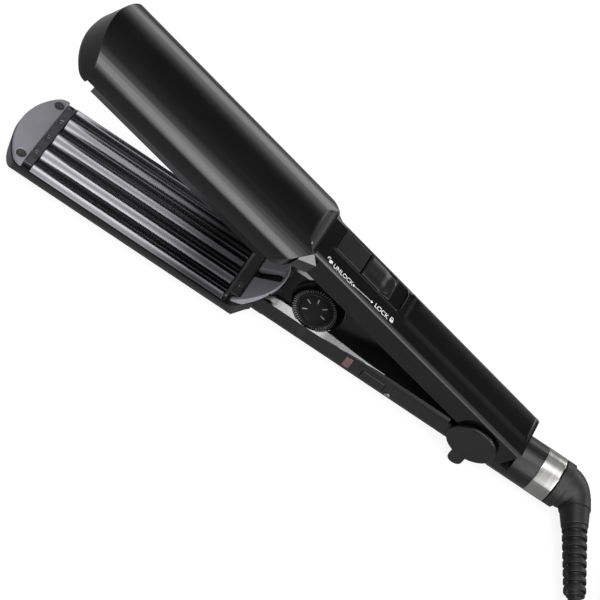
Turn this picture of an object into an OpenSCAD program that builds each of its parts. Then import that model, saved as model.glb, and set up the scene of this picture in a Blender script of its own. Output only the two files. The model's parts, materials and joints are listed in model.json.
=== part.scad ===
// Hair crimper: two hinged arms with wavy heated plates, a sliding latch, a temperature dial,
// a side button and a cord that leaves the barrel through a swivelling elbow.
// Lengths are in millimetres. X runs from the tip to the cord, Y across, Z up from the table.
// The origin is under the middle of the front foot. The upper arm is drawn closed and then swung open.

/* [Overall] */
// Height of the plane where the two plates meet
contact_z = 20; // [19:0.5:21]
// Angle at which the upper arm rests open
open_angle = 18.3; // [8:0.1:20]
// Wall thickness of the casings
wall = 2; // [1.6:0.1:2.4]

/* [Heads] */
// Width of each head across its sides
head_w = 49; // [46:0.5:52]
// Distance from the front foot to the tip
tip_reach = 151; // [141:1:160]
// Depth of the lower head below the contact plane
lower_depth = 16; // [15:0.5:16.5]
// Depth of the upper head above the contact plane
upper_depth = 21; // [20.5:0.5:22]
// Rounding of the lower head's long edges
head_round = 11; // [8:0.5:12]
// Rounding of the upper head's long edges
crown_round = 14; // [12:0.5:15]
// Radius of the crown on top of the upper head
crown_radius = 55; // [50:1:70]
// Rounding of the rear corners of the heads
corner_round = 10; // [8:0.5:11]
// Rounding of the tip's corners
tip_corner = 8; // [6:0.5:9]
// Length of the grey cap on each tip
cap_length = 15; // [14:0.5:17]

/* [Crimp plates] */
// Distance from one wave to the next
wave_pitch = 11.8; // [10:0.1:12.5]
// Height of a wave
wave_depth = 2.6; // [1.5:0.1:3]
// Sideways place of the ridge nearest the middle
ridge_y = 3.6; // [0:0.1:6]
// Gap between the closed plates
plate_gap = 0.6; // [0.5:0.1:1]
// Room that each plate stands in above its casing
plate_stand = 3.4; // [3.2:0.1:3.8]

/* [Handles] */
// Width of the lower handle
lower_handle_w = 29; // [28.5:0.5:30]
// Width of the upper handle
upper_handle_w = 30.4; // [30:0.2:31]
// Height of the lower handle's underside
handle_floor = 7.8; // [7:0.1:8.5]
// Height of the joint line between lower casing and cover
seam_z = 24; // [23.8:0.1:24.2]
// Height of the upper handle's top, closed
handle_top = 38.7; // [38.4:0.1:39.5]
// Rounding of the lower handle's bottom edges
lower_round = 7; // [5:0.5:8]
// Rounding of the upper handle's top edges
upper_round = 3; // [2.5:0.5:4]
// Crown of the glossy cover above the joint line
cover_crown = 2.2; // [1.8:0.1:2.4]

/* [Hinge] */
// Distance from the front foot to the hinge pin
hinge_x = 127; // [124:0.5:130]
// Height of the hinge pin
hinge_z = 22.5; // [22:0.1:23]
// Diameter of the hinge pin
pin_d = 6; // [5:0.1:6.4]
// Diameter of the round hinge caps
hinge_cap_d = 27; // [25:0.5:28]
// Thickness of the hinge caps beside the upper arm
hinge_cap_t = 1.8; // [1.5:0.1:2.5]

/* [Controls] */
// Distance from the front foot to the dial
dial_x = 25.4; // [24.5:0.1:27]
// Diameter of the dial's knurled rim
dial_d = 23.2; // [22:0.1:23.4]
// Number of teeth round the rim
dial_teeth = 44; // [30:2:60]
// Distance from the front foot to the front of the indicator
lens_x = 51; // [49:0.5:53]
// Distance from the front foot to the front of the side button
button_x = 62; // [60:0.5:64]
// Length of the side button
button_l = 13.4; // [12:0.1:14]
// Distance from the front foot to the front of the latch slider
slider_x = 22.4; // [22:0.1:24]
// Length of the latch slider
slider_l = 19.4; // [17:0.1:20]
// Travel of the latch slider
slider_travel = 6; // [5:0.1:6.2]

/* [Barrel and swivel] */
// Radius of the barrel
barrel_r = 12.6; // [12:0.1:13]
// Height of the barrel's middle
barrel_z = 13.2; // [13.1:0.1:14]
// Distance from the front foot to the chrome ring
ring_x = 163; // [161:0.5:165]
// Length of the chrome ring
ring_l = 11.3; // [10:0.1:12]
// Angle of the cord sleeve from the barrel, to the near side
elbow_angle = 66.5; // [60:0.5:70]
// Number of ribs on the strain relief
rib_count = 8; // [6:1:9]
// Distance from one rib to the next
rib_pitch = 4.7; // [4:0.1:4.7]

/* [Cord] */
// Diameter of the cord
cord_d = 6.8; // [6:0.1:7]
// Inner radius of the coil at the middle of the cord
coil_r_in = 28.5; // [28:0.5:29]
// Radial step from one turn to the next
coil_step = 7.7; // [7.6:0.1:8.2]
// Turns in each layer of the coil
coil_turns = 2.6; // [2.4:0.1:2.8]
// Height from one layer to the next
coil_layer = 7.4; // [7.4:0.1:7.8]

/* [Hidden] */
$fn = 48;
eps = 0.05;
gap = 0.3;
far = 400;

tip_x = -tip_reach;
cap_x1 = tip_x + cap_length;
bar_x1 = cap_x1 + 4.6;
plate_x1 = -17;
plate_x0 = bar_x1 + 0.1;
clamp_x0 = -15;
clamp_x1 = -9.6;
clamp_w = 37;
rim_z = contact_z - plate_stand;
plate_w = head_w - 1.2;
plate_neck_w = head_w - 2 * wall - 1;
neck_z = rim_z - 3;
heater_t = 2.1;
insulator_t = 1;
screw_y = 18.6;
tip_screw_x = cap_x1 - 3.6;
clamp_screw_y = 12.4;
shoulder_x = -16;
head_end = -2.4;
throat_x = -10;
under_x0 = -14;
under_x1 = -4;
under_rise = 6.5;
tip_radius = 32.6;
lower_slant = 0.5;
upper_slant = 3;
crown_x1 = -21;
crown_fall = pow(head_end - crown_x1, 2) / (2 * (contact_z + upper_depth + 0.2 - handle_top));

lower_half = lower_handle_w / 2;
upper_half = upper_handle_w / 2;
upper_rim_z = contact_z + 5.3;
upper_rear = 146.5;
upper_taper = 1.9;
rear_round = 4;
handle_rear = 150;
barrel_x0 = 150.4;
cavity_x0 = 4.6;
rear_top = seam_z - 6.4;
brow_x0 = -8;
brow_x1 = 1.5;
brow_z = contact_z - 4.5;
rim_face_x = brow_x0 + (rim_z - brow_z) * (brow_x1 - brow_x0) / (seam_z - brow_z);
cavity_floor = handle_floor + wall;
board_z = cavity_floor + 1.6;
board_t = 1.4;
board_x = 10;
board_l = 96;
board_w = 20;

ramp_x0 = -9.5;
wing_x0 = -13.1;
ramp_x1 = 5;
ramp_z0 = contact_z + 0.6;
ramp_z1 = contact_z + 10.5;
ramp_radius = 21.9;
ramp_slope = (ramp_z1 - ramp_z0) / (ramp_x1 - ramp_x0);
ramp_slot_w = 6.4;
ramp_bridge = 1.6;
catch_top = ramp_z1 - 3.2;

cover_x0 = ramp_x1 + 0.3;
cover_x1 = 112;
inner_cover_x = 14;
inner_cover_w = 2 * (upper_half - wall - 0.9);
inner_cover_t = 1.5;
dial_top = contact_z + 1.2;
dial_r = dial_d / 2;
dial_face_r = dial_r - 3.2;
dial_well_r = dial_r + 0.8;
dial_shaft_r = 3;
switch_top = dial_top - 4.4;
lens_l = 4.2;
lens_z0 = contact_z - 5;
lens_h = 8.6;
button_h = 5.4;
button_z = contact_z - 4.5;
button_press = 1.2;
stud_x = 79;
stud_z = contact_z - 5.2;
foot_l = 8.6;
foot_w = 12.6;
foot_r = 7.4;
peg_w = 8;
ear_r = 7;
bush_r = pin_d / 2 + 1.2;
hinge_cap_y = upper_half + gap;
far_cap_r = 9;

slider_y = 4;
slider_w = 13;
track_w = slider_w + 1.2;
track_x0 = 4;
track_x1 = slider_x + slider_l + slider_travel + 1.6;
track_z = handle_top - 1;
lock_arm_z = handle_top - wall - 2.7;
hook_x = -6.5;

spigot_r = 8;
spigot_x0 = ring_x - 9;
swivel_x = ring_x + ring_l + 0.4;
elbow_x = swivel_x + 6.3;
elbow_r = barrel_r - 1.4;
sleeve_x = elbow_x + 6;
sleeve_l = 19;
relief_l = rib_count * rib_pitch;

cord_r = cord_d / 2;
coil_r_out = coil_r_in + coil_step * coil_turns;
coil_z = 1 + cord_r;
coil_layers = 4;
loop_rings = 24;
coil_sides = 6;
run_sides = 10;
sleeve_dir = [cos(elbow_angle), -sin(elbow_angle), 0];
cord_exit = [sleeve_x, 0, barrel_z] + (sleeve_l + relief_l) * sleeve_dir;
run_reach = 56;
run_straight = 10;
run_arc = 42;
run_bend = 70;
run_flat = 8;
run_steps = 16;
lead_angle = run_arc / run_bend * 180 / PI - elbow_angle;
lead_dir = [cos(lead_angle), sin(lead_angle), 0];
coil_start = run_place(run_reach) - [0, 0, barrel_z - coil_z];
coil_lead = cord_d + 1.2;
coil_entry = coil_start + coil_lead * lead_dir;
coil_centre = coil_entry + coil_r_out * [-sin(lead_angle), cos(lead_angle), 0];
entry_angle = lead_angle - 90;
coil_total = coil_layers * coil_turns;
plug_l = 36;
plug_w = 35;
plug_t = 13.6;
coil_top = coil_z + (coil_layers - 1) * coil_layer + cord_r;
plug_z = coil_top + gap + plug_t / 2;
rise_start = coil_total - 0.07;
tail_r = 30;
tail_turn = 90;
tail_steps = 12;
end_angle = entry_angle + 360 * coil_total;
tail_centre = coil_centre + (coil_r_out - tail_r) * [cos(end_angle), sin(end_angle), 0];
plug_angle = end_angle + 90 + tail_turn;
plug_face = tail_centre + tail_r * [cos(end_angle + tail_turn), sin(end_angle + tail_turn), 0]
    + coil_lead * [cos(plug_angle), sin(plug_angle), 0];
tie_angle = entry_angle + 81.5;
tie_w = 10;
tie_t = 0.8;

// The free stretch of cord: straight out of the sleeve, round a bend and straight into the coil
function run_turned(s) = min(max(s - run_straight, 0), run_arc) / run_bend * 180 / PI;
function run_place(s) =
    let (a = run_turned(s) - elbow_angle, past = max(s - run_straight - run_arc, 0))
    cord_exit + min(s, run_straight) * sleeve_dir
    + run_bend * [sin(elbow_angle) + sin(a), cos(elbow_angle) - cos(a), 0]
    + past * [cos(a), sin(a), 0];
run_points = [for (k = [0:run_steps])
    let (s = run_reach * k / run_steps)
    run_place(s) - [0, 0, (barrel_z - coil_z) * smooth((s - run_flat) / (run_reach - 2 * run_flat))]];

function smooth(t) = t <= 0 ? 0 : t >= 1 ? 1 : t * t * (3 - 2 * t);
function spiral_leg(t) = floor(t / coil_turns);
function spiral_part(t) = t / coil_turns - spiral_leg(t);
function spiral_r(t) = spiral_leg(t) % 2 == 0
    ? coil_r_out - coil_step * coil_turns * spiral_part(t)
    : coil_r_in + coil_step * coil_turns * spiral_part(t);
function climbed(t) = smooth((t - coil_turns) / 0.5 + 0.5)
    + smooth((t - 2 * coil_turns) / 0.5 + 0.5)
    + smooth((t - 3 * coil_turns) / 0.5 + 0.5);
tail_length = tail_r * tail_turn * PI / 180;
rise_lead = (coil_total - rise_start) * 2 * PI * coil_r_out;
function rise(s) = (plug_z - coil_top + cord_r) * smooth((s + rise_lead) / (tail_length + rise_lead));
function spiral_point(t) = coil_centre
    + spiral_r(t) * [cos(entry_angle + 360 * t), sin(entry_angle + 360 * t), 0]
    + [0, 0, coil_layer * climbed(t) + rise((t - coil_total) * 2 * PI * coil_r_out)];
function tail_point(k) = tail_centre
    + tail_r * [cos(end_angle + tail_turn * k / tail_steps), sin(end_angle + tail_turn * k / tail_steps), 0]
    + [0, 0, (coil_layers - 1) * coil_layer + rise(tail_length * k / tail_steps)];
spiral_steps = ceil(coil_total * loop_rings) - 1;
coil_points = concat(
    [coil_start, coil_start + coil_lead / 2 * lead_dir],
    [for (k = [0:spiral_steps]) spiral_point(k / loop_rings)],
    [for (k = [0:tail_steps]) tail_point(k)],
    [[plug_face[0], plug_face[1], plug_z]]);

function unit(v) = v / norm(v);
function path_dir(p, i) = unit(p[min(i + 1, len(p) - 1)] - p[max(i - 1, 0)]);
function ring(p, i, r, n) =
    let (t = path_dir(p, i), side = unit(cross([0, 0, 1], t)), up = cross(t, side))
    [for (k = [0:n - 1]) p[i] + r * (cos(360 * k / n) * side + sin(360 * k / n) * up)];
function least_apart(p, skip) =
    min([for (i = [0:len(p) - 1], j = [i + skip:1:len(p) - 1]) norm(p[i] - p[j])]);

coil_gap = least_apart(coil_points, 9) - cord_d;
cord_length = sum_length(run_points) + sum_length(coil_points);
function sum_length(p, i = 1) = i >= len(p) ? 0 : norm(p[i] - p[i - 1]) + sum_length(p, i + 1);
echo(coil_gap = coil_gap, cord_length = cord_length);

// Helpers

module along_x(x0, x1) {
    translate([x0, 0, 0])
        rotate([90, 0, 90])
            linear_extrude(x1 - x0)
                children();
}

module along_y(y0, y1) {
    translate([0, y1, 0])
        rotate([90, 0, 0])
            linear_extrude(y1 - y0)
                children();
}

module swung_open() {
    translate([hinge_x, 0, hinge_z])
        rotate([0, open_angle, 0])
            translate([-hinge_x, 0, -hinge_z])
                children();
}

module turned_over() {
    translate([0, 0, 2 * contact_z])
        mirror([0, 0, 1])
            children();
}

module pin_y(x, z, r, y0, y1) {
    translate([x, y1, z])
        rotate([90, 0, 0])
            cylinder(r = r, h = y1 - y0);
}

// Flat top at height zero, rounded bottom edges
module tray_profile(half, depth, r) {
    translate([-half, r - depth])
        square([2 * half, depth - r]);
    translate([r - half, -depth])
        square([2 * (half - r), depth]);
    for (s = [-1, 1])
        translate([s * (half - r), r - depth])
            circle(r);
}

module head_plan(inset, end_half) {
    half = head_w / 2 - inset;
    corner = corner_round - inset;
    corner_y = head_w / 2 - corner_round;
    bevel = 45;
    tip_centre = tip_x + tip_radius;
    nose_y = head_w / 2 - tip_corner;
    nose_x = tip_centre - sqrt(pow(tip_radius - tip_corner, 2) - pow(nose_y, 2));
    intersection() {
        translate([tip_centre, 0])
            circle(tip_radius - inset, $fn = 96);
        polygon([[tip_centre, 0], [2 * nose_x - tip_centre, 2 * nose_y],
            [2 * nose_x - tip_centre, -2 * nose_y]]);
    }
    translate([nose_x, -half])
        square([shoulder_x - nose_x, 2 * half]);
    for (s = [-1, 1]) {
        translate([nose_x, s * nose_y])
            circle(tip_corner - inset);
        translate([shoulder_x, s * corner_y])
            circle(corner);
    }
    polygon([[shoulder_x, -corner_y], [shoulder_x + corner * cos(bevel), -corner_y - corner * sin(bevel)],
        [head_end, -end_half], [head_end, end_half],
        [shoulder_x + corner * cos(bevel), corner_y + corner * sin(bevel)], [shoulder_x, corner_y]]);
}

// Flat top at height zero, rounded edges and a crown that runs into them
module crown_profile(half, depth, r, crown) {
    edge_y = half - r;
    edge_z = -sqrt(pow(crown - r, 2) - pow(edge_y, 2));
    translate([0, crown - depth]) {
        intersection() {
            circle(crown, $fn = 96);
            polygon([[0, 0], [2 * edge_y, 2 * edge_z], [-2 * edge_y, 2 * edge_z]]);
        }
        translate([-half, edge_z])
            square([2 * half, -edge_z]);
        for (s = [-1, 1])
            translate([s * edge_y, edge_z])
                circle(r);
    }
}

// Side view of a head: the crowned one runs down to the handle in an arc, the other in a slope
module head_side(depth, crowned) {
    start = tip_x + tip_radius - 1;
    if (crowned) {
        translate([start, -depth])
            square([crown_x1 - start, depth]);
        intersection() {
            translate([crown_x1, crown_fall - depth])
                circle(crown_fall, $fn = 96);
            translate([crown_x1 - 1, -depth])
                square([head_end - crown_x1 + 1, depth]);
        }
    } else {
        polygon([[start, 0], [start, -depth], [under_x0, -depth], [under_x1, under_rise - depth],
            [head_end, under_rise - depth], [head_end, 0]]);
    }
}

// A head below the contact plane, cut off at its rim
module head_block(depth, inset, end_half, crowned) {
    tip_r = tip_radius - inset;
    slant = crowned ? upper_slant : lower_slant;
    intersection() {
        along_x(tip_x, head_end) {
            if (crowned)
                crown_profile(head_w / 2 - inset, depth - inset, crown_round - inset, crown_radius - inset);
            else
                tray_profile(head_w / 2 - inset, depth - inset, head_round - inset);
        }
        translate([0, 0, -depth])
            linear_extrude(depth - plate_stand)
                head_plan(inset, end_half);
        union() {
            translate([tip_x + tip_radius, 0, -depth])
                cylinder(r1 = tip_r - slant, r2 = tip_r, h = depth, $fn = 96);
            along_y(-head_w, head_w)
                head_side(depth, crowned);
        }
    }
}

module head_cavity(depth, end_half, crowned) {
    intersection() {
        translate([0, 0, eps])
            head_block(depth, wall, end_half - wall, crowned);
        translate([tip_x, -head_w, -depth])
            cube([plate_x1 + 1 - tip_x, 2 * head_w, depth]);
    }
    translate([plate_x1 - 0.5, -plate_neck_w / 2 - eps, -plate_stand - 1.6])
        cube([clamp_x0 - plate_x1 + 0.5, plate_neck_w + 2 * eps, 10]);
    translate([clamp_x0 - 0.1, -clamp_w / 2 - eps, -6])
        cube([clamp_x1 - clamp_x0 + 0.2, clamp_w + 2 * eps, 10]);
}

module screw_boss(x, y, depth) {
    translate([x, y, -depth + 1])
        cylinder(r = 3, h = depth - 1 - plate_stand);
}

module insulator_ribs(depth) {
    rib_top = neck_z - heater_t - insulator_t - contact_z;
    for (k = [0:2])
        translate([plate_x0 + 20 + 36 * k, -14, -depth + 1])
            cube([2, 28, depth - 1 + rib_top]);
}

module head_fittings(depth, crowned) {
    intersection() {
        head_block(depth, 0.5, 12, crowned);
        union() {
            for (s = [-1, 1])
                screw_boss(tip_screw_x, s * screw_y, depth);
            insulator_ribs(depth);
            translate([clamp_x0 - 1, -20, -depth + 1])
                cube([clamp_x1 - clamp_x0 + 1, 40, depth - 7]);
        }
    }
}

module head_screw_holes() {
    for (s = [-1, 1]) {
        translate([tip_screw_x, s * screw_y, -12])
            cylinder(r = 1.1, h = 12);
        translate([(clamp_x0 + clamp_x1) / 2, s * clamp_screw_y, -12])
            cylinder(r = 1.1, h = 12);
    }
}

// Lower arm

module lower_shell() {
    color("#151515")
        difference() {
            union() {
                translate([0, 0, contact_z])
                    difference() {
                        head_block(lower_depth, 0, lower_half, false);
                        head_cavity(lower_depth, lower_half, false);
                    }
                translate([0, 0, contact_z])
                    head_fittings(lower_depth, false);
                lower_handle_walls();
                lower_tail();
            }
            translate([0, 0, contact_z])
                head_screw_holes();
            lower_openings();
        }
}

module lower_handle_section(inset) {
    translate([0, seam_z])
        tray_profile(lower_half - inset, seam_z - handle_floor - inset, lower_round - inset);
}

module lower_handle_walls() {
    difference() {
        intersection() {
            along_x(brow_x0, handle_rear)
                lower_handle_section(0);
            along_y(-head_w, head_w)
                polygon([[brow_x0, 0], [brow_x0, brow_z], [brow_x1, seam_z], [hinge_x - 7, seam_z],
                    [handle_rear, rear_top], [handle_rear, 0]]);
        }
        translate([0, 0, eps])
            along_x(cavity_x0, handle_rear - 2)
                lower_handle_section(wall);
    }
    for (x = [14, 58, 100])
        translate([x, -6, handle_floor + 1])
            cube([4, 12, board_z - handle_floor - 1]);
}

module lower_tail() {
    difference() {
        intersection() {
            translate([hinge_x + 14, 0, barrel_z])
                rotate([0, 90, 0])
                    cylinder(r = barrel_r, h = ring_x - hinge_x - 14);
            along_y(-head_w, head_w)
                polygon([[hinge_x + 13, 0], [hinge_x + 13, rear_top + 1.2], [handle_rear, rear_top],
                    [barrel_x0, rear_top], [barrel_x0, far], [far, far], [far, 0]]);
        }
        translate([hinge_x + 13, 0, barrel_z])
            rotate([0, 90, 0])
                cylinder(r = barrel_r - wall - 0.6, h = far);
    }
}

module lower_openings() {
    ear_y = lower_half - wall - 1;
    for (s = [-1, 1])
        pin_y(hinge_x, hinge_z, ear_r + 0.6, s > 0 ? ear_y : -far, s > 0 ? far : -ear_y);
    translate([lens_x, -lower_half - 1, lens_z0])
        cube([lens_l, wall + 2, lens_h]);
    translate([button_x - gap, -lower_half - 1, button_z - gap])
        cube([button_l + 2 * gap, wall + 2, button_h + 2 * gap]);
    pin_y(stud_x, stud_z, 1.1, -lower_half - 1, -lower_half + 2.8);
}

module lower_cover() {
    color("#101010")
        difference() {
            intersection() {
                translate([0, 0, seam_z])
                    along_x(cover_x0, cover_x1)
                        mirror([0, 1])
                            tray_profile(lower_half - 0.2, cover_crown, cover_crown - eps);
                translate([0, -far / 2, seam_z])
                    cube(far);
            }
            translate([dial_x, 0, 0])
                cylinder(r = dial_well_r, h = far);
        }
}

module tip_cap_plate() {
    difference() {
        translate([0, 0, rim_z])
            linear_extrude(plate_stand - 0.2)
                intersection() {
                    head_plan(0.6, 10);
                    translate([tip_x, -head_w])
                        square([cap_length - 0.1, 2 * head_w]);
                }
        for (s = [-1, 1])
            translate([tip_screw_x, s * screw_y, 0]) {
                cylinder(r = 1.2, h = far);
                translate([0, 0, contact_z - 2.2])
                    cylinder(r = 2.6, h = far);
            }
    }
}

module lower_tip_cap() {
    color("#8a8a8e")
        tip_cap_plate();
}

// Bars with a notch at each valley at the two ends of a plate
module end_bars() {
    bar_h = plate_stand + 1.4;
    difference() {
        for (x = [[cap_x1, bar_x1], [plate_x1 + 0.1, clamp_x0 - 0.1]])
            translate([x[0], -plate_neck_w / 2, rim_z - 1.6])
                cube([x[1] - x[0], plate_neck_w, bar_h]);
        for (k = [-2:1])
            translate([cap_x1 + 1.2, ridge_y + wave_pitch * (k + 0.5) - 1.6, contact_z - 1.6])
                cube([2.2, 3.2, 4]);
    }
}

module lower_plate_frame() {
    color("#77777a")
        end_bars();
}

function wave(y) = -wave_depth * (1 - cos(360 * (y - ridge_y) / wave_pitch)) / 2;
wave_steps = 56;
wave_edge = [for (k = [0:wave_steps])
    let (y = plate_w * (k / wave_steps - 0.5))
    [y, contact_z - plate_gap / 2 + wave(y)]];

module lower_plate() {
    color("#26262a")
        union() {
            along_x(plate_x0, plate_x1)
                polygon(concat([[plate_w / 2, rim_z + eps], [-plate_w / 2, rim_z + eps]], wave_edge));
            translate([plate_x0 + 1.5, -plate_neck_w / 2 + 0.3, neck_z])
                cube([plate_x1 - plate_x0 - 3, plate_neck_w - 0.6, rim_z - neck_z + 0.5]);
        }
}

module heater_bar() {
    translate([plate_x0 + 8, -9, neck_z - heater_t])
        cube([plate_x1 - plate_x0 - 16, 18, heater_t]);
}

module insulator_sheet() {
    translate([plate_x0 + 6, -12, neck_z - heater_t - insulator_t])
        cube([plate_x1 - plate_x0 - 12, 24, insulator_t]);
}

module lower_heater() {
    color("#d8d4c8")
        heater_bar();
}

module lower_insulator() {
    color("#b9a878")
        insulator_sheet();
}

module clamp_block() {
    difference() {
        translate([clamp_x0, -clamp_w / 2, contact_z - 6])
            cube([clamp_x1 - clamp_x0, clamp_w, 5.6]);
        for (s = [-1, 1])
            translate([(clamp_x0 + clamp_x1) / 2, s * clamp_screw_y, 0]) {
                cylinder(r = 1.2, h = far);
                translate([0, 0, contact_z - 1.6])
                    cylinder(r = 2, h = far);
            }
    }
}

module lower_clamp() {
    color("#2a2a2c")
        clamp_block();
}

// Sloped catch behind the plate, slotted for the latch hook
module latch_ramp() {
    color("#858589")
        difference() {
            intersection() {
                translate([ramp_x1 - ramp_radius, 0, 0])
                    cylinder(r = ramp_radius, h = far, $fn = 96);
                along_y(-head_w, head_w)
                    polygon([[wing_x0, rim_z + eps], [wing_x0, ramp_z0 - ramp_slope * (ramp_x0 - wing_x0)],
                        [ramp_x1, ramp_z1], [ramp_x1, seam_z + eps], [brow_x1 - 0.1, seam_z + eps],
                        [rim_face_x - 0.1, rim_z + eps]]);
            }
            translate([wing_x0 - 1, -clamp_w / 2 - 0.2, 0])
                cube([ramp_x0 - wing_x0 + 1, clamp_w + 0.4, far]);
            translate([ramp_x0 - 1, -ramp_slot_w / 2, 0])
                cube([ramp_x1 - ramp_bridge - ramp_x0 + 1, ramp_slot_w, far]);
            translate([0, -ramp_slot_w / 2, seam_z - 1])
                cube([far, ramp_slot_w, catch_top - seam_z + 1]);
        }
}

module screw_set() {
    for (s = [-1, 1]) {
        translate([tip_screw_x, s * screw_y, contact_z - 10]) {
            cylinder(r = 1.08, h = 9);
            translate([0, 0, 7.8])
                cross_head(2.4, 1.4);
        }
        translate([(clamp_x0 + clamp_x1) / 2, s * clamp_screw_y, contact_z - 10]) {
            cylinder(r = 1.08, h = 9);
            translate([0, 0, 8.4])
                cross_head(1.9, 1.1);
        }
    }
}

module cross_head(r, h) {
    difference() {
        cylinder(r = r, h = h);
        for (a = [0, 90])
            rotate(a)
                translate([-r * 0.6, -0.3, h - 0.6])
                    cube([r * 1.2, 0.6, 2]);
    }
}

module lower_screws() {
    color("#6f6f72")
        screw_set();
}

module control_board() {
    color("#2f6b3f")
        translate([board_x, -board_w / 2, board_z])
            cube([board_l, board_w, board_t]);
}

module dial_switch() {
    z0 = board_z + board_t;
    color("#3a3a3d")
        difference() {
            union() {
                translate([dial_x - 8, -8, z0])
                    cube([16, 16, switch_top - z0 - 1]);
                translate([dial_x, 0, switch_top - 1.2])
                    cylinder(r = min(dial_r, lower_half - wall - 0.3), h = 1.2);
            }
            translate([dial_x, 0, z0 + 1])
                cylinder(r = dial_shaft_r + 0.05, h = far);
        }
}

module indicator_lens() {
    color("#e07a78")
        translate([lens_x + eps, -lower_half - 0.4, lens_z0 + eps])
            cube([lens_l - 2 * eps, wall + 1.2, lens_h - 2 * eps]);
}

module button_switch() {
    z0 = board_z + board_t;
    x = button_x + button_l / 2;
    color("#38383b")
        translate([x - 5, -lower_half + wall + 3.4, z0])
            cube([10, 7, 7]);
}

module side_stud() {
    color("#d0d0d2")
        union() {
            pin_y(stud_x, stud_z, 1.08, -lower_half - 0.2, -lower_half + 2.6);
            pin_y(stud_x, stud_z, 1.5, -lower_half - 0.5, -lower_half - eps);
        }
}

module front_foot() {
    color("#1b1b1b")
        intersection() {
            translate([-foot_l / 2, -foot_w / 2, 0])
                cube([foot_l, foot_w, handle_floor]);
            cylinder(r = foot_r, h = far);
        }
}

// Pegs under the hinge that hold the rear of the iron off the table
module rear_feet() {
    peg_x = hinge_x - 1;
    inner = lower_half + 0.2;
    outer = hinge_cap_y + hinge_cap_t - 0.4;
    peg_top = hinge_z - hinge_cap_d / 2 + 2.5;
    color("#6a6a6c")
        for (s = [-1, 1])
            intersection() {
                difference() {
                    union() {
                        pin_y(peg_x, peg_w / 2, peg_w / 2, s > 0 ? inner : -outer, s > 0 ? outer : -inner);
                        translate([peg_x - peg_w / 2, s > 0 ? inner : -outer, peg_w / 2])
                            cube([peg_w, outer - inner, peg_top - peg_w / 2 + 3]);
                    }
                    pin_y(hinge_x, hinge_z, hinge_cap_d / 2 + eps, -far, far);
                }
                translate([peg_x - peg_w, -far, 0])
                    cube([2 * peg_w, 2 * far, far]);
            }
}

module hinge_caps() {
    outer = hinge_cap_y + hinge_cap_t;
    low_z = hinge_z - ear_r - 1;
    color("#2c2c2e")
        for (s = [-1, 1])
            difference() {
                union() {
                    pin_y(hinge_x, hinge_z, s > 0 ? far_cap_r : hinge_cap_d / 2,
                        s > 0 ? hinge_cap_y : -outer, s > 0 ? outer : -hinge_cap_y);
                    intersection() {
                        pin_y(hinge_x, hinge_z, hinge_cap_d / 2, s > 0 ? lower_half + eps : -outer,
                            s > 0 ? outer : -lower_half - eps);
                        translate([hinge_x - 20, -far, 0])
                            cube([40, 2 * far, low_z]);
                    }
                }
                pin_y(hinge_x, hinge_z, pin_d / 2 + 0.02, s > 0 ? 0 : -outer + 0.8, s > 0 ? outer - 0.8 : 0);
            }
}

module hinge_pin() {
    end_y = hinge_cap_y + hinge_cap_t - 0.9;
    color("#b0b0b4")
        pin_y(hinge_x, hinge_z, pin_d / 2, -end_y, end_y);
}

module hinge_spring() {
    color("#8f8f92")
        difference() {
            union() {
                pin_y(hinge_x, hinge_z, pin_d / 2 + 2, -8, 8);
                translate([hinge_x - pin_d / 2 - 2, -7.6, cavity_floor + eps])
                    cube([1.6, 1.6, hinge_z - cavity_floor]);
            }
            pin_y(hinge_x, hinge_z, pin_d / 2 + 0.2, -far, far);
        }
}

module trim_ring() {
    color("#d9d9dc")
        translate([ring_x + eps, 0, barrel_z])
            rotate([0, 90, 0])
                difference() {
                    cylinder(r = barrel_r + 0.1, h = ring_l - eps);
                    translate([0, 0, -1])
                        cylinder(r = spigot_r + 0.05, h = far);
                }
}

// Upper arm

module upper_shell() {
    color("#151515")
        swung_open()
            difference() {
                union() {
                    turned_over()
                        translate([0, 0, contact_z])
                            union() {
                                difference() {
                                    head_block(upper_depth, 0, upper_half - upper_taper, true);
                                    head_cavity(upper_depth, upper_half, true);
                                }
                                head_fittings(upper_depth, true);
                            }
                    upper_handle_walls();
                    upper_ears();
                }
                turned_over()
                    translate([0, 0, contact_z])
                        head_screw_holes();
                upper_openings();
            }
}

// Leaning sides with rounded top edges
module upper_handle_section(inset) {
    half = upper_half - inset;
    height = handle_top - upper_rim_z - inset;
    r = upper_round - inset / 2;
    lean = atan(upper_taper / height);
    edge_y = half - (height - r) * tan(lean) - r / cos(lean);
    side = [edge_y + r * cos(lean), height - r + r * sin(lean)];
    translate([0, upper_rim_z]) {
        polygon([[-half, 0], [half, 0], side, [edge_y, height], [-edge_y, height], [-side[0], side[1]]]);
        for (s = [-1, 1])
            translate([s * edge_y, height - r])
                circle(r);
    }
}

// Plan of the upper handle with its rear corners rounded
module upper_handle_plan() {
    translate([head_end - 2, -upper_half])
        square([upper_rear - rear_round - head_end + 2, 2 * upper_half]);
    translate([0, rear_round - upper_half])
        square([upper_rear, 2 * (upper_half - rear_round)]);
    for (s = [-1, 1])
        translate([upper_rear - rear_round, s * (upper_half - rear_round)])
            circle(rear_round);
}

module upper_handle_walls() {
    difference() {
        intersection() {
            along_x(head_end - 2, upper_rear)
                upper_handle_section(0);
            linear_extrude(far)
                upper_handle_plan();
        }
        translate([0, 0, -eps])
            along_x(head_end - 3, upper_rear - wall)
                upper_handle_section(wall);
    }
}

module upper_ears() {
    for (s = [-1, 1]) {
        y0 = s > 0 ? upper_half - wall : -upper_half;
        pin_y(hinge_x, hinge_z, ear_r, y0, y0 + wall);
        translate([hinge_x - ear_r, y0, hinge_z])
            cube([2 * ear_r, wall, upper_rim_z - hinge_z + 1]);
    }
}

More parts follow.
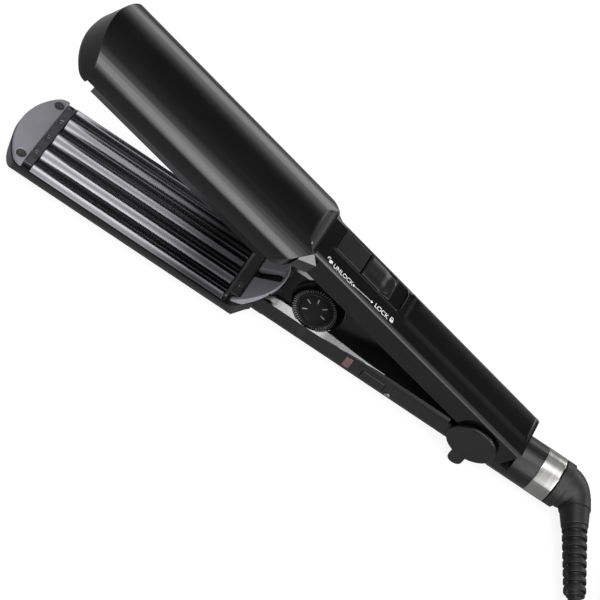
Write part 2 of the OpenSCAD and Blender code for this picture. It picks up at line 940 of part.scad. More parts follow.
module upper_openings() {
    inner = upper_half - wall - upper_taper;
    translate([throat_x, -inner, contact_z])
        cube([cavity_x0 - throat_x + 0.5, 2 * inner, handle_top - wall - contact_z - 0.3]);
    translate([0, -far / 2, 0])
        cube([10, far, upper_rim_z]);
    intersection() {
        translate([ramp_x1 - ramp_radius, 0, contact_z])
            cylinder(r = ramp_radius + 0.5, h = far, $fn = 96);
        along_y(-head_w, head_w)
            polygon([[throat_x, 0], [throat_x, ramp_z0 + ramp_slope * (throat_x - ramp_x0) + 1],
                [ramp_x1 + 1, ramp_z1 + 1.5], [ramp_x1 + 1, 0]]);
    }
    translate([cavity_x0 - 2, 0.3 - lower_half, 0])
        cube([cover_x1 + 2 - cavity_x0, 2 * (lower_half - 0.3) + 0.6, seam_z + cover_crown + 0.4]);
    translate([track_x0, slider_y - track_w / 2, track_z])
        cube([track_x1 - track_x0, track_w, far]);
    translate([slider_x + 5, slider_y - 4.3, contact_z])
        cube([slider_travel + 6.6, 5.6, far]);
    for (s = [-1, 1])
        pin_y(hinge_x, hinge_z, bush_r + 0.02, s > 0 ? 5 : -far, s > 0 ? far : -5);
}

module upper_cover() {
    color("#1d1d1f")
        swung_open()
            translate([inner_cover_x, -inner_cover_w / 2, contact_z + 8])
                cube([cover_x1 - inner_cover_x, inner_cover_w, inner_cover_t]);
}

module upper_tip_cap() {
    color("#8a8a8e")
        swung_open()
            turned_over()
                tip_cap_plate();
}

module upper_plate_frame() {
    color("#77777a")
        swung_open()
            turned_over()
                end_bars();
}

module upper_plate() {
    rim_up = 2 * contact_z - rim_z;
    upper_edge = [for (p = wave_edge) [p[0], p[1] + plate_gap]];
    color("#26262a")
        swung_open()
            union() {
                along_x(plate_x0, plate_x1)
                    polygon(concat([[plate_w / 2, rim_up - eps], [-plate_w / 2, rim_up - eps]], upper_edge));
                translate([plate_x0 + 1.5, -plate_neck_w / 2 + 0.3, rim_up - 0.5])
                    cube([plate_x1 - plate_x0 - 3, plate_neck_w - 0.6, rim_z - neck_z + 0.5]);
            }
}

module upper_heater() {
    color("#d8d4c8")
        swung_open()
            turned_over()
                heater_bar();
}

module upper_insulator() {
    color("#b9a878")
        swung_open()
            turned_over()
                insulator_sheet();
}

module upper_clamp() {
    color("#2a2a2c")
        swung_open()
            turned_over()
                clamp_block();
}

module upper_screws() {
    color("#6f6f72")
        swung_open()
            turned_over()
                screw_set();
}

module hinge_bushes() {
    color("#b98d4a")
        swung_open()
            for (s = [-1, 1])
                difference() {
                    pin_y(hinge_x, hinge_z, bush_r, s > 0 ? upper_half - wall : -upper_half,
                        s > 0 ? upper_half : wall - upper_half);
                    pin_y(hinge_x, hinge_z, pin_d / 2 + 0.04, -far, far);
                }
}

module lock_cover() {
    color("#232325")
        swung_open()
            translate([track_x0 + 0.5, slider_y - slider_w / 2, track_z])
                cube([slider_x - track_x0 - 1.1, slider_w, 1.2]);
}

// Slider plate with a thumb scoop, its stem through the casing, and the hook for the ramp
module lock_slider() {
    plate_z = track_z + 0.15;
    color("#242426")
        swung_open()
            union() {
                difference() {
                    translate([slider_x, slider_y - slider_w / 2, plate_z])
                        cube([slider_l, slider_w, 1.3]);
                    pin_y(slider_x + slider_l - 5, plate_z + 7.6, 7, -far, far);
                }
                translate([slider_x + 5.4, slider_y - 4, lock_arm_z])
                    cube([6, 5, plate_z - lock_arm_z + 0.4]);
                translate([hook_x, -2.6, lock_arm_z])
                    cube([slider_x + 11.4 - hook_x, 5.2, 2]);
                translate([hook_x, -2.6, catch_top - 2.6])
                    cube([2.5, 5.2, lock_arm_z - catch_top + 3]);
                translate([hook_x, -2.6, catch_top - 2.6])
                    cube([5.2, 5.2, 2.2]);
            }
}

// Controls

module temperature_dial() {
    base_z = switch_top + gap;
    rim_top = dial_top - 2;
    color("#3c3c3e")
        translate([dial_x, 0, 0])
            union() {
                intersection() {
                    rotate_extrude()
                        polygon([[0, base_z], [dial_r + gap, base_z], [dial_r + gap, rim_top],
                            [dial_face_r, dial_top], [0, dial_top]]);
                    translate([0, 0, base_z])
                        linear_extrude(dial_top - base_z)
                            dial_outline();
                }
                translate([0, 0, board_z + board_t + 1.3])
                    cylinder(r = dial_shaft_r, h = base_z - board_z - board_t);
            }
}

module dial_outline() {
    tooth = 360 / dial_teeth;
    polygon([for (k = [0:dial_teeth - 1], e = [0, 0.5])
        let (r = e == 0 ? dial_r : dial_r - 0.8)
        r * [cos(tooth * (k + e)), sin(tooth * (k + e))]]);
}

module power_button() {
    stem_z = button_z + button_h / 2;
    x = button_x + button_l / 2;
    color("#4a4a4c")
        union() {
            translate([button_x, -lower_half - 0.4, button_z])
                cube([button_l, wall + 0.6, button_h]);
            pin_y(x, stem_z, 1.6, -lower_half + wall - 0.4, -lower_half + wall + 3.1 - button_press);
        }
}

// Swivel, cord and plug

module on_sleeve() {
    translate([sleeve_x, 0, barrel_z])
        rotate([0, 0, -elbow_angle])
            rotate([0, 90, 0])
                children();
}

module swivel_elbow() {
    color("#1a1a1b")
        difference() {
            union() {
                translate([swivel_x, 0, barrel_z])
                    rotate([0, 90, 0])
                        cylinder(r = barrel_r, h = 5.4);
                translate([spigot_x0, 0, barrel_z])
                    rotate([0, 90, 0])
                        cylinder(r = spigot_r, h = elbow_x - spigot_x0);
                intersection() {
                    translate([elbow_x, 0, barrel_z])
                        sphere(r = elbow_r);
                    translate([swivel_x, -far / 2, -far / 2])
                        cube(far);
                }
                on_sleeve()
                    translate([0, 0, 3])
                        cylinder(r1 = 8.4, r2 = 6.9, h = sleeve_l - 3);
            }
            translate([spigot_x0 - 1, 0, barrel_z])
                rotate([0, 90, 0])
                    cylinder(r = cord_r, h = elbow_x - spigot_x0);
        }
}

module swivel_clip() {
    color("#a8a8ab")
        translate([ring_x - 2.9, 0, barrel_z])
            rotate([0, 90, 0])
                difference() {
                    cylinder(r = spigot_r + 1.3, h = 2.4);
                    translate([0, 0, -1])
                        cylinder(r = spigot_r + 0.02, h = 5);
                }
}

module strain_relief() {
    color("#1c1c1d")
        on_sleeve()
            translate([0, 0, sleeve_l])
                union() {
                    cylinder(r1 = 4.9, r2 = 4.3, h = relief_l);
                    for (k = [0:rib_count - 1])
                        translate([0, 0, k * rib_pitch])
                            cylinder(r = 6.5 - 0.11 * k, h = rib_pitch * 0.56);
                    for (a = [0, 180])
                        rotate(a)
                            translate([-1.2, 0, 0])
                                cube([2.4, 5.2, relief_l]);
                }
}

module tube(p, r, n) {
    count = len(p);
    points = [for (i = [0:count - 1]) each ring(p, i, r, n)];
    sides = [for (i = [0:count - 2], k = [0:n - 1])
        let (a = i * n + k, b = i * n + (k + 1) % n)
        each [[a, b + n, b], [a, a + n, b + n]]];
    start_cap = [for (k = [1:n - 2]) [0, k, k + 1]];
    last = (count - 1) * n;
    end_cap = [for (k = [1:n - 2]) [last, last + k + 1, last + k]];
    polyhedron(points, concat(sides, start_cap, end_cap));
}

module cord_run() {
    color("#1e1e1f")
        tube(run_points, cord_r, run_sides);
}

module cord_coil() {
    color("#1e1e1f")
        tube(coil_points, cord_r, coil_sides);
}

module cord_tie() {
    inner = coil_r_in - cord_r - 0.8;
    width = coil_r_out - coil_r_in + cord_d + 1.6;
    height = coil_top - 0.9 + gap;
    color("#303033")
        translate([coil_centre[0], coil_centre[1], 0])
            rotate(tie_angle)
                translate([inner, -tie_w / 2, 0.9])
                    difference() {
                        translate([-tie_t, 0, -tie_t])
                            cube([width + 2 * tie_t, tie_w, height + 2 * tie_t]);
                        translate([0, -1, 0])
                            cube([width, tie_w + 2, height]);
                    }
}

module at_plug() {
    translate([plug_face[0], plug_face[1], plug_z])
        rotate(plug_angle)
            children();
}

module plug_body() {
    nose = 10;
    color("#1b1b1c")
        at_plug()
            difference() {
                union() {
                    along_x(nose, plug_l)
                        plug_section(plug_w / 2, plug_t / 2);
                    along_x(eps, nose + 1)
                        plug_section(9, plug_t / 2);
                }
                for (s = [-1, 1])
                    translate([plug_l - 8, s * 9.3, 0])
                        rotate([0, 90, 0])
                            cylinder(r = 2.02, h = far);
            }
}

module plug_section(half, half_t) {
    translate([half_t - half, -half_t])
        square([2 * (half - half_t), 2 * half_t]);
    for (s = [-1, 1])
        translate([s * (half - half_t), 0])
            circle(half_t);
}

module plug_pins() {
    color("#c9c9cc")
        at_plug()
            for (s = [-1, 1])
                translate([plug_l - 7.6, s * 9.3, 0])
                    rotate([0, 90, 0])
                        cylinder(r = 2, h = 26.6);
}

lower_shell();
lower_cover();
lower_tip_cap();
lower_plate_frame();
lower_plate();
lower_heater();
lower_insulator();
lower_clamp();
latch_ramp();
lower_screws();
control_board();
dial_switch();
indicator_lens();
button_switch();
side_stud();
front_foot();
rear_feet();
hinge_caps();
hinge_pin();
hinge_spring();
trim_ring();
upper_shell();
upper_cover();
upper_tip_cap();
upper_plate_frame();
upper_plate();
upper_heater();
upper_insulator();
upper_clamp();
upper_screws();
hinge_bushes();
lock_cover();
lock_slider();
temperature_dial();
power_button();
swivel_elbow();
swivel_clip();
strain_relief();
cord_run();
cord_coil();
cord_tie();
plug_body();
plug_pins();
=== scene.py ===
"""Looks of the hair crimper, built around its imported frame.

Blender's lengths are metres. Named sizes and places are in mm where their comment says so.
"""
import json
import math

import bmesh
import bpy
from mathutils import Matrix, Vector

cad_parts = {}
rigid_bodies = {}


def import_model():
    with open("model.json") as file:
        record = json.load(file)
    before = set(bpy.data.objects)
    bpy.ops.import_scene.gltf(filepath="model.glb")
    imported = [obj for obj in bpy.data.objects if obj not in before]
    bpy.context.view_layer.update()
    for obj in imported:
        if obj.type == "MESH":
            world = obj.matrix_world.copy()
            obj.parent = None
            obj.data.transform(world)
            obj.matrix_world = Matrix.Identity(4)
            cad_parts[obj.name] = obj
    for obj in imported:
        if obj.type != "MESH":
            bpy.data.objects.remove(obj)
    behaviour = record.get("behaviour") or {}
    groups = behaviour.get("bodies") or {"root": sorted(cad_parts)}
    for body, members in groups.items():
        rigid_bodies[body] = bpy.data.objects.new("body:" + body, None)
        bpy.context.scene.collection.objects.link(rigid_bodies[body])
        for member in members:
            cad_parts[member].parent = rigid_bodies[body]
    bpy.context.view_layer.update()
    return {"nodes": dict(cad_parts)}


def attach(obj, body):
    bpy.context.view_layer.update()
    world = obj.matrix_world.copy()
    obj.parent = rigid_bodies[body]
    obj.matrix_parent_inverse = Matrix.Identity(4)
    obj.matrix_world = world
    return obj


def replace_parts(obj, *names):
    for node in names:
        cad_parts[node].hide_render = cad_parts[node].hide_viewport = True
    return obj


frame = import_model()
scene = bpy.context.scene
MM = 0.001
UP = Vector((0, 0, 1))

# Camera, from the photograph's viewing angle
CAMERA_PLACE = Vector((-4.98, -582.20, 832.93)) * MM
CAMERA_RIGHT = Vector((0.83175, 0.44062, 0.33772))
CAMERA_UP = Vector((-0.55475, 0.68300, 0.47516))
CAMERA_LENS = 119.3
CAMERA_CLIP = (0.05, 50)

# Sizes of the object in mm, as in the part's source
HINGE = Vector((127, 0, 22.5))
OPEN_ANGLE = math.radians(18.3)
CONTACT_Z = 20
HANDLE_TOP = 38.7
BARREL_Z = 13.2
DIAL_X = 25.4

# The upper arm's sizes are given with the arms closed, and this opens them
SWING = (Matrix.Translation(HINGE * MM) @ Matrix.Rotation(OPEN_ANGLE, 4, "Y")
         @ Matrix.Translation(-HINGE * MM))


def smooth(t):
    """Rises gently from 0 to 1 while t does, and stays there on both sides."""
    t = min(max(t, 0.0), 1.0)
    return t * t * (3 - 2 * t)


def ray(angle):
    """The level direction at this angle from X."""
    return Vector((math.cos(angle), math.sin(angle), 0))


def eased(start, end, steps):
    """Values from start to end that lie closer together near both."""
    return [start + (end - start) * (0.5 - 0.5 * math.cos(math.pi * k / steps))
            for k in range(steps + 1)]


def add_camera():
    data = bpy.data.cameras.new("camera")
    data.lens = CAMERA_LENS
    data.clip_start, data.clip_end = CAMERA_CLIP
    camera = bpy.data.objects.new("camera", data)
    back = CAMERA_RIGHT.cross(CAMERA_UP)
    turn = Matrix((CAMERA_RIGHT, CAMERA_UP, back)).transposed().to_4x4()
    camera.matrix_world = Matrix.Translation(CAMERA_PLACE) @ turn
    scene.collection.objects.link(camera)
    scene.camera = camera


# Materials


class Nodes:
    """The nodes of a material or the world, with short calls to add and join them."""

    def __init__(self, block, shader="Principled BSDF", place="Object"):
        block.use_nodes = True
        self.block = block
        self.tree = block.node_tree
        self.shader = self.tree.nodes[shader]
        self.place = self.add("ShaderNodeTexCoord").outputs[place]

    def add(self, kind, **values):
        node = self.tree.nodes.new(kind)
        for key, value in values.items():
            setattr(node, key, value)
        return node

    def join(self, a, b):
        self.tree.links.new(a, b)

    def axes(self):
        node = self.add("ShaderNodeSeparateXYZ")
        self.join(self.place, node.inputs[0])
        return node.outputs

    def math(self, operation, a, b):
        node = self.add("ShaderNodeMath", operation=operation)
        for socket, value in zip(node.inputs, (a, b)):
            if isinstance(value, (int, float)):
                socket.default_value = value
            else:
                self.join(value, socket)
        return node.outputs[0]

    def set(self, **values):
        for key, value in values.items():
            self.shader.inputs[key.replace("_", " ")].default_value = value

    def noise(self, scale, detail=3.0, rough=0.55, stretch=(1, 1, 1)):
        node = self.add("ShaderNodeTexNoise")
        node.inputs["Scale"].default_value = scale
        node.inputs["Detail"].default_value = detail
        node.inputs["Roughness"].default_value = rough
        mapping = self.add("ShaderNodeMapping")
        mapping.inputs["Scale"].default_value = stretch
        self.join(self.place, mapping.inputs["Vector"])
        self.join(mapping.outputs["Vector"], node.inputs["Vector"])
        return node.outputs["Fac"]

    def ramp(self, source, stops):
        node = self.add("ShaderNodeValToRGB")
        ramp = node.color_ramp
        while len(ramp.elements) < len(stops):
            ramp.elements.new(0.5)
        for element, (at, color) in zip(ramp.elements, stops):
            element.position = at
            element.color = (*color, 1)
        self.join(source, node.inputs["Fac"])
        return node.outputs["Color"]

    def span(self, source, low, high, start=0.0, end=1.0, kind="LINEAR"):
        """Maps start..end of a value to low..high."""
        node = self.add("ShaderNodeMapRange", interpolation_type=kind)
        for key, value in (("From Min", start), ("From Max", end),
                           ("To Min", low), ("To Max", high)):
            node.inputs[key].default_value = value
        self.join(source, node.inputs["Value"])
        return node.outputs["Result"]

    def color(self, source):
        self.join(source, self.shader.inputs["Base Color"])

    def tones(self, source, dark, light, start=0.3, end=0.7):
        """Colours the surface from dark to light over start..end of a value."""
        self.color(self.ramp(source, [(start, dark), (end, light)]))

    def roughness(self, source, low, high):
        self.join(self.span(source, low, high), self.shader.inputs["Roughness"])

    def bump(self, source, strength, distance):
        node = self.add("ShaderNodeBump")
        node.inputs["Strength"].default_value = strength
        node.inputs["Distance"].default_value = distance
        self.join(source, node.inputs["Height"])
        self.join(node.outputs["Normal"], self.shader.inputs["Normal"])


def scaled(color, factor):
    return tuple(min(1.0, c * factor) for c in color)


def moulded(name, color, low_rough, high_rough, grain, grain_depth, shift=0.25, ior=1.5):
    """Moulded plastic: cloudy colour, patchy gloss and a fine grain."""
    n = Nodes(bpy.data.materials.new(name))
    cloud = n.noise(scale=38, detail=4)
    n.tones(cloud, scaled(color, 1 - shift), scaled(color, 1 + shift))
    n.roughness(n.noise(scale=90, detail=5), low_rough, high_rough)
    n.bump(n.noise(scale=grain), strength=0.35, distance=grain_depth)
    n.set(IOR=ior)
    return n.block


LINE_DARK, LINE_LIGHT = 0.86, 1.1


def brushed(name, color, low_rough, high_rough, stretch, grain_depth):
    """Metal with fine lines along one direction."""
    n = Nodes(bpy.data.materials.new(name))
    lines = n.noise(scale=420, detail=4, rough=0.6, stretch=stretch)
    n.tones(lines, scaled(color, LINE_DARK), scaled(color, LINE_LIGHT))
    n.roughness(lines, low_rough, high_rough)
    n.bump(lines, strength=0.25, distance=grain_depth)
    n.set(Metallic=1.0)
    return n.block


SPECKLE_SPREAD = 0.08


def speckled(name, dark, light, scale, rough):
    """Mineral or sheet surface with grains of two tones."""
    n = Nodes(bpy.data.materials.new(name))
    grains = n.noise(scale=scale, detail=5, rough=0.65)
    n.tones(grains, dark, light, start=0.35, end=0.65)
    n.roughness(grains, rough - SPECKLE_SPREAD, rough + SPECKLE_SPREAD)
    n.bump(grains, strength=0.25, distance=0.00004)
    return n.block


# Tones of the plates' coat by its wear and painted shade, the places in X, in metres, between which
# painted shade darkens it towards the clamp, and the share of its tone left there
COAT_TONES = [(0.08, (0.035, 0.035, 0.038)), (0.3, (0.13, 0.13, 0.138)),
              (0.62, (0.19, 0.19, 0.2)), (0.85, (0.25, 0.25, 0.26))]
COAT_FRONT_X, COAT_REAR_X, COAT_SHADE_LEVEL = -0.085, -0.03, 0.15


def plate_coat():
    """Dark ceramic coat on metal, with faint lengthwise wear, and painted shade that darkens it
    towards the clamp.
    """
    n = Nodes(bpy.data.materials.new("plate_coat"))
    wear = n.noise(scale=300, detail=5, rough=0.62, stretch=(0.06, 1, 1))
    # Painted shade: the coat's tone falls towards the clamp.
    painted_shade = n.span(n.axes()["X"], 1, COAT_SHADE_LEVEL, COAT_FRONT_X, COAT_REAR_X, "SMOOTHSTEP")
    n.color(n.ramp(n.math("MULTIPLY", wear, painted_shade), COAT_TONES))
    n.roughness(n.noise(scale=60), 0.17, 0.23)
    n.bump(n.noise(scale=160, detail=2), strength=0.05, distance=0.00001)
    n.set(Metallic=1.0)
    return n.block


def red_lens():
    """Milky red plastic that lets a little light in."""
    n = Nodes(bpy.data.materials.new("red_lens"))
    n.tones(n.noise(scale=240), (0.085, 0.045, 0.045), (0.13, 0.075, 0.072))
    n.roughness(n.noise(scale=400), 0.22, 0.32)
    n.bump(n.noise(scale=900, detail=2), strength=0.2, distance=0.00004)
    n.set(Subsurface_Weight=0.1, Subsurface_Scale=0.001)
    return n.block


def printed():
    """Pale pad print, a little uneven."""
    n = Nodes(bpy.data.materials.new("print"))
    cloud = n.noise(scale=700, detail=4)
    n.tones(cloud, (0.46, 0.46, 0.47), (0.62, 0.62, 0.62), start=0.25, end=0.6)
    n.roughness(cloud, 0.5, 0.62)
    return n.block


# Colour, lowest and highest roughness, scale and depth of the grain, shift of the colour, IOR
MOULDED = {
    "gloss_cover": ((0.0028, 0.0028, 0.003), 0.12, 0.17, 1500, 0.00002, 0.25, 1.8),
    "gloss_black": ((0.0028, 0.0028, 0.003), 0.13, 0.2, 1500, 0.00002),
    "satin_black": ((0.0045, 0.0045, 0.0047), 0.24, 0.33, 2200, 0.00003),
    "soft_black": ((0.009, 0.009, 0.0095), 0.42, 0.54, 1900, 0.00005),
    "cord_sheath": ((0.009, 0.009, 0.0094), 0.46, 0.58, 2400, 0.00004),
    "grey_satin": ((0.195, 0.195, 0.215), 0.38, 0.5, 2600, 0.00005, 0.1),
}
# Colour, lowest and highest roughness, stretch of the lines and their depth
BRUSHED = {
    "bare_metal": ((0.16, 0.16, 0.168), 0.3, 0.46, (0.1, 1, 1), 0.00003),
    "steel": ((0.15, 0.15, 0.154), 0.24, 0.38, (1, 0.1, 1), 0.00002),
    "chrome": ((0.52, 0.515, 0.5), 0.09, 0.16, (1, 0.05, 0.05), 0.00001),
    "brass": ((0.56, 0.38, 0.15), 0.26, 0.4, (1, 0.1, 1), 0.00002),
}
# Dark and light tone, scale of the grains, middle roughness
SPECKLED = {
    "ceramic": ((0.62, 0.59, 0.52), (0.76, 0.73, 0.66), 900, 0.6),
    "mica": ((0.34, 0.27, 0.15), (0.52, 0.44, 0.28), 420, 0.42),
    "board": ((0.02, 0.10, 0.045), (0.03, 0.16, 0.07), 300, 0.4),
    # Pale grey used only on the dial teeth's edges, as a painted highlight
    "worn": ((0.26, 0.26, 0.265), (0.42, 0.42, 0.425), 1600, 0.45),
}
MATERIALS = {"plate_coat": plate_coat(), "red_lens": red_lens(), "print": printed()}
for make, rows in ((moulded, MOULDED), (brushed, BRUSHED), (speckled, SPECKLED)):
    MATERIALS.update({name: make(name, *row) for name, row in rows.items()})


# Pieces


def linked(name, data, slot, body, look=None):
    """A new object of this data with its material, or another look of it, riding on a body."""
    obj = bpy.data.objects.new(name, data)
    scene.collection.objects.link(obj)
    data.materials.clear()
    data.materials.append(MATERIALS[look or slot])
    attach(obj, body)
    return obj


def body_of(node):
    return frame["nodes"][node].parent.name.removeprefix("body:")


def final_mesh(obj):
    """A mesh of the object as it stands, with its modifiers applied."""
    bpy.context.view_layer.update()
    graph = bpy.context.evaluated_depsgraph_get()
    return bpy.data.meshes.new_from_object(obj.evaluated_get(graph))


def mesh_of(name, points, faces, angle=35):
    """A smooth mesh of points in mm, its edges over this angle in degrees kept sharp."""
    bm = bmesh.new()
    corners = [bm.verts.new(Vector(p) * MM) for p in points]
    for face in faces:
        bm.faces.new([corners[i] for i in face])
    bmesh.ops.recalc_face_normals(bm, faces=bm.faces)
    mesh = bpy.data.meshes.new(name)
    bm.to_mesh(mesh)
    bm.free()
    for face in mesh.polygons:
        face.use_smooth = True
    mesh.set_sharp_from_angle(angle=math.radians(angle))
    return mesh


def skin(turns, count, first=0, endless=False):
    """Faces over rings of count points, capped at both ends or, if endless, closed on itself."""
    last = first + (turns - 1) * count
    faces = [] if endless else [tuple(range(at, at + count)) for at in (first, last)]
    for i in range(turns if endless else turns - 1):
        a, b = first + i * count, first + (i + 1) % turns * count
        for j in range(count):
            k = (j + 1) % count
            faces.append((a + j, a + k, b + k, b + j))
    return faces


def loft(name, rings, angle=35, endless=False):
    """A closed mesh through rings of equally many points, in mm."""
    faces = skin(len(rings), len(rings[0]), endless=endless)
    return mesh_of(name, [p for ring in rings for p in ring], faces, angle)


def slab(name, outline, z0, z1):
    """A flat outline of x, y points in mm between two heights."""
    return loft(name, [[(x, y, z) for x, y in outline] for z in (z0, z1)])


def swung(mesh, place=Matrix.Identity(4)):
    """The mesh, put in its place on the closed upper arm and opened with it."""
    mesh.transform(SWING @ place)
    return mesh


# Rounding of the solids' edges: what counts as one point, a flat face, an edge and a crease
WELD_REACH = 0.004 * MM
FLAT_ANGLE, EDGE_ANGLE, CREASE_ANGLE = (math.radians(a) for a in (0.6, 28, 16))
EDGE_SEGMENTS, NORMAL_WEIGHT = 3, 80


def dressed(node, slot, edge, shape=None):
    """Stands for a CAD node: the same solid, shaped further, its edges rounded by edge mm."""
    bm = bmesh.new()
    bm.from_mesh(frame["nodes"][node].data)
    bmesh.ops.remove_doubles(bm, verts=bm.verts, dist=WELD_REACH)
    if shape:
        shape(bm)
    if edge:
        bmesh.ops.dissolve_limit(bm, angle_limit=FLAT_ANGLE, verts=bm.verts, edges=bm.edges)
    mesh = bpy.data.meshes.new(node + "_finish")
    bm.to_mesh(mesh)
    bm.free()
    for face in mesh.polygons:
        face.use_smooth = True
    obj = linked(node + "_finish", mesh, slot, body_of(node))
    if edge:
        bevel = obj.modifiers.new("edges", "BEVEL")
        bevel.width = edge * MM
        bevel.segments = EDGE_SEGMENTS
        bevel.limit_method = "ANGLE"
        bevel.angle_limit = EDGE_ANGLE
        bevel.use_clamp_overlap = False
        bevel.miter_outer = "MITER_ARC"
    else:
        mesh.set_sharp_from_angle(angle=CREASE_ANGLE)
    normals = obj.modifiers.new("normals", "WEIGHTED_NORMAL")
    normals.keep_sharp = True
    normals.weight = NORMAL_WEIGHT
    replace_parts(obj, node)


# Softening of the upper head's front edge in mm, and how far its two faces lean to the front
TIP_X, TIP_Z, TIP_SOFT = -118, 27, 0.7
FRONT_LEAN, CROWN_LEAN = -0.3, -0.2


def softened_front(bm):
    """Rounds the edge between the upper head's crown and its front."""
    closed = SWING.inverted()
    picked = []
    for edge in bm.edges:
        if len(edge.link_faces) != 2:
            continue
        ends = [closed @ vert.co / MM for vert in edge.verts]
        front, crown = sorted((closed.to_3x3() @ face.normal).x for face in edge.link_faces)
        at_tip = all(p.x < TIP_X and p.z > TIP_Z for p in ends)
        if at_tip and front < FRONT_LEAN and crown > CROWN_LEAN:
            picked.append(edge)
    bmesh.ops.bevel(bm, geom=picked, offset=TIP_SOFT * MM, segments=EDGE_SEGMENTS,
                    affect="EDGES", clamp_overlap=True)


SHAPED = {"upper_shell": softened_front}

# Solids that keep their CAD shape, with the rounding of their edges in mm
FINISHES = [
    ("lower_shell", "satin_black", 0), ("upper_shell", "gloss_black", 0),
    ("lower_tip_cap", "grey_satin", 0.5), ("upper_tip_cap", "satin_black", 0.5),
    ("lower_plate_frame", "bare_metal", 0.3), ("upper_plate_frame", "bare_metal", 0.3),
    ("lower_clamp", "soft_black", 0.4), ("upper_clamp", "soft_black", 0.4),
    ("latch_ramp", "grey_satin", 0.8),
    ("lower_screws", "steel", 0.12), ("upper_screws", "steel", 0.12),
    ("indicator_lens", "red_lens", 0.35), ("side_stud", "chrome", 0.15),
    ("front_foot", "soft_black", 0.6), ("rear_feet", "soft_black", 0.5),
    ("hinge_caps", "satin_black", 0.6), ("trim_ring", "chrome", 0.4),
    ("lock_cover", "satin_black", 0.5), ("lock_slider", "satin_black", 0.5),
    ("power_button", "satin_black", 0.5),
    ("swivel_elbow", "soft_black", 0.5), ("strain_relief", "soft_black", 0.35),
    ("cord_tie", "soft_black", 0.2), ("plug_body", "soft_black", 0), ("plug_pins", "chrome", 0.5),
]
# Solids out of sight, which are shown as they are
INNER = {
    "lower_heater": "ceramic", "upper_heater": "ceramic", "lower_insulator": "mica",
    "upper_insulator": "mica", "control_board": "board", "dial_switch": "satin_black",
    "button_switch": "satin_black", "hinge_pin": "steel", "hinge_spring": "steel",
    "upper_cover": "satin_black", "hinge_bushes": "brass", "swivel_clip": "steel",
}


def add_finishes():
    for node, slot, edge in FINISHES:
        dressed(node, slot, edge, SHAPED.get(node))
    for node, slot in INNER.items():
        mesh = frame["nodes"][node].data
        mesh.materials.clear()
        mesh.materials.append(MATERIALS[slot])


# The cord's route in mm: out of the sleeve and strain relief, along a free run, round a coil of
# layers, and up to the plug on top
CORD_D = 6.8
ELBOW_ANGLE = math.radians(66.5)
SLEEVE_DIR = Vector((math.cos(ELBOW_ANGLE), -math.sin(ELBOW_ANGLE), 0))
SLEEVE_X, SLEEVE_LENGTH = 187.0, 56.6
CORD_EXIT = Vector((SLEEVE_X, 0, BARREL_Z)) + SLEEVE_LENGTH * SLEEVE_DIR
RUN_REACH, RUN_STRAIGHT, RUN_ARC, RUN_BEND, RUN_FLAT, RUN_STEPS = 56, 10, 42, 70, 8, 16
LEAD_ANGLE = RUN_ARC / RUN_BEND - ELBOW_ANGLE
COIL_R_IN, COIL_STEP, COIL_TURNS, COIL_LAYER, COIL_LAYERS = 28.5, 7.7, 2.6, 7.4, 4
COIL_R_OUT = COIL_R_IN + COIL_STEP * COIL_TURNS
COIL_LIFT = 1
COIL_Z = COIL_LIFT + CORD_D / 2
COIL_LEAD = CORD_D + 1.2
COIL_TOTAL = COIL_LAYERS * COIL_TURNS
COIL_TOP = COIL_Z + (COIL_LAYERS - 1) * COIL_LAYER + CORD_D / 2
CLIMB_TURN, RISE_TURN = 0.5, 0.07
PLUG_GAP, PLUG_T = 0.3, 13.6
PLUG_Z = COIL_TOP + PLUG_GAP + PLUG_T / 2
TAIL_R, TAIL_TURN, TAIL_STEPS = 30, math.radians(90), 12
TURN_STEPS = 30


def run_place(s):
    """Point of the free run at distance s: out of the sleeve, round a bend, down to the table."""
    heading = min(max(s - RUN_STRAIGHT, 0), RUN_ARC) / RUN_BEND - ELBOW_ANGLE
    bend = Vector((math.sin(ELBOW_ANGLE) + math.sin(heading),
                   math.cos(ELBOW_ANGLE) - math.cos(heading), 0))
    drop = (BARREL_Z - COIL_Z) * smooth((s - RUN_FLAT) / (RUN_REACH - 2 * RUN_FLAT))
    return (CORD_EXIT + min(s, RUN_STRAIGHT) * SLEEVE_DIR + RUN_BEND * bend
            + max(s - RUN_STRAIGHT - RUN_ARC, 0) * ray(heading) - Vector((0, 0, drop)))


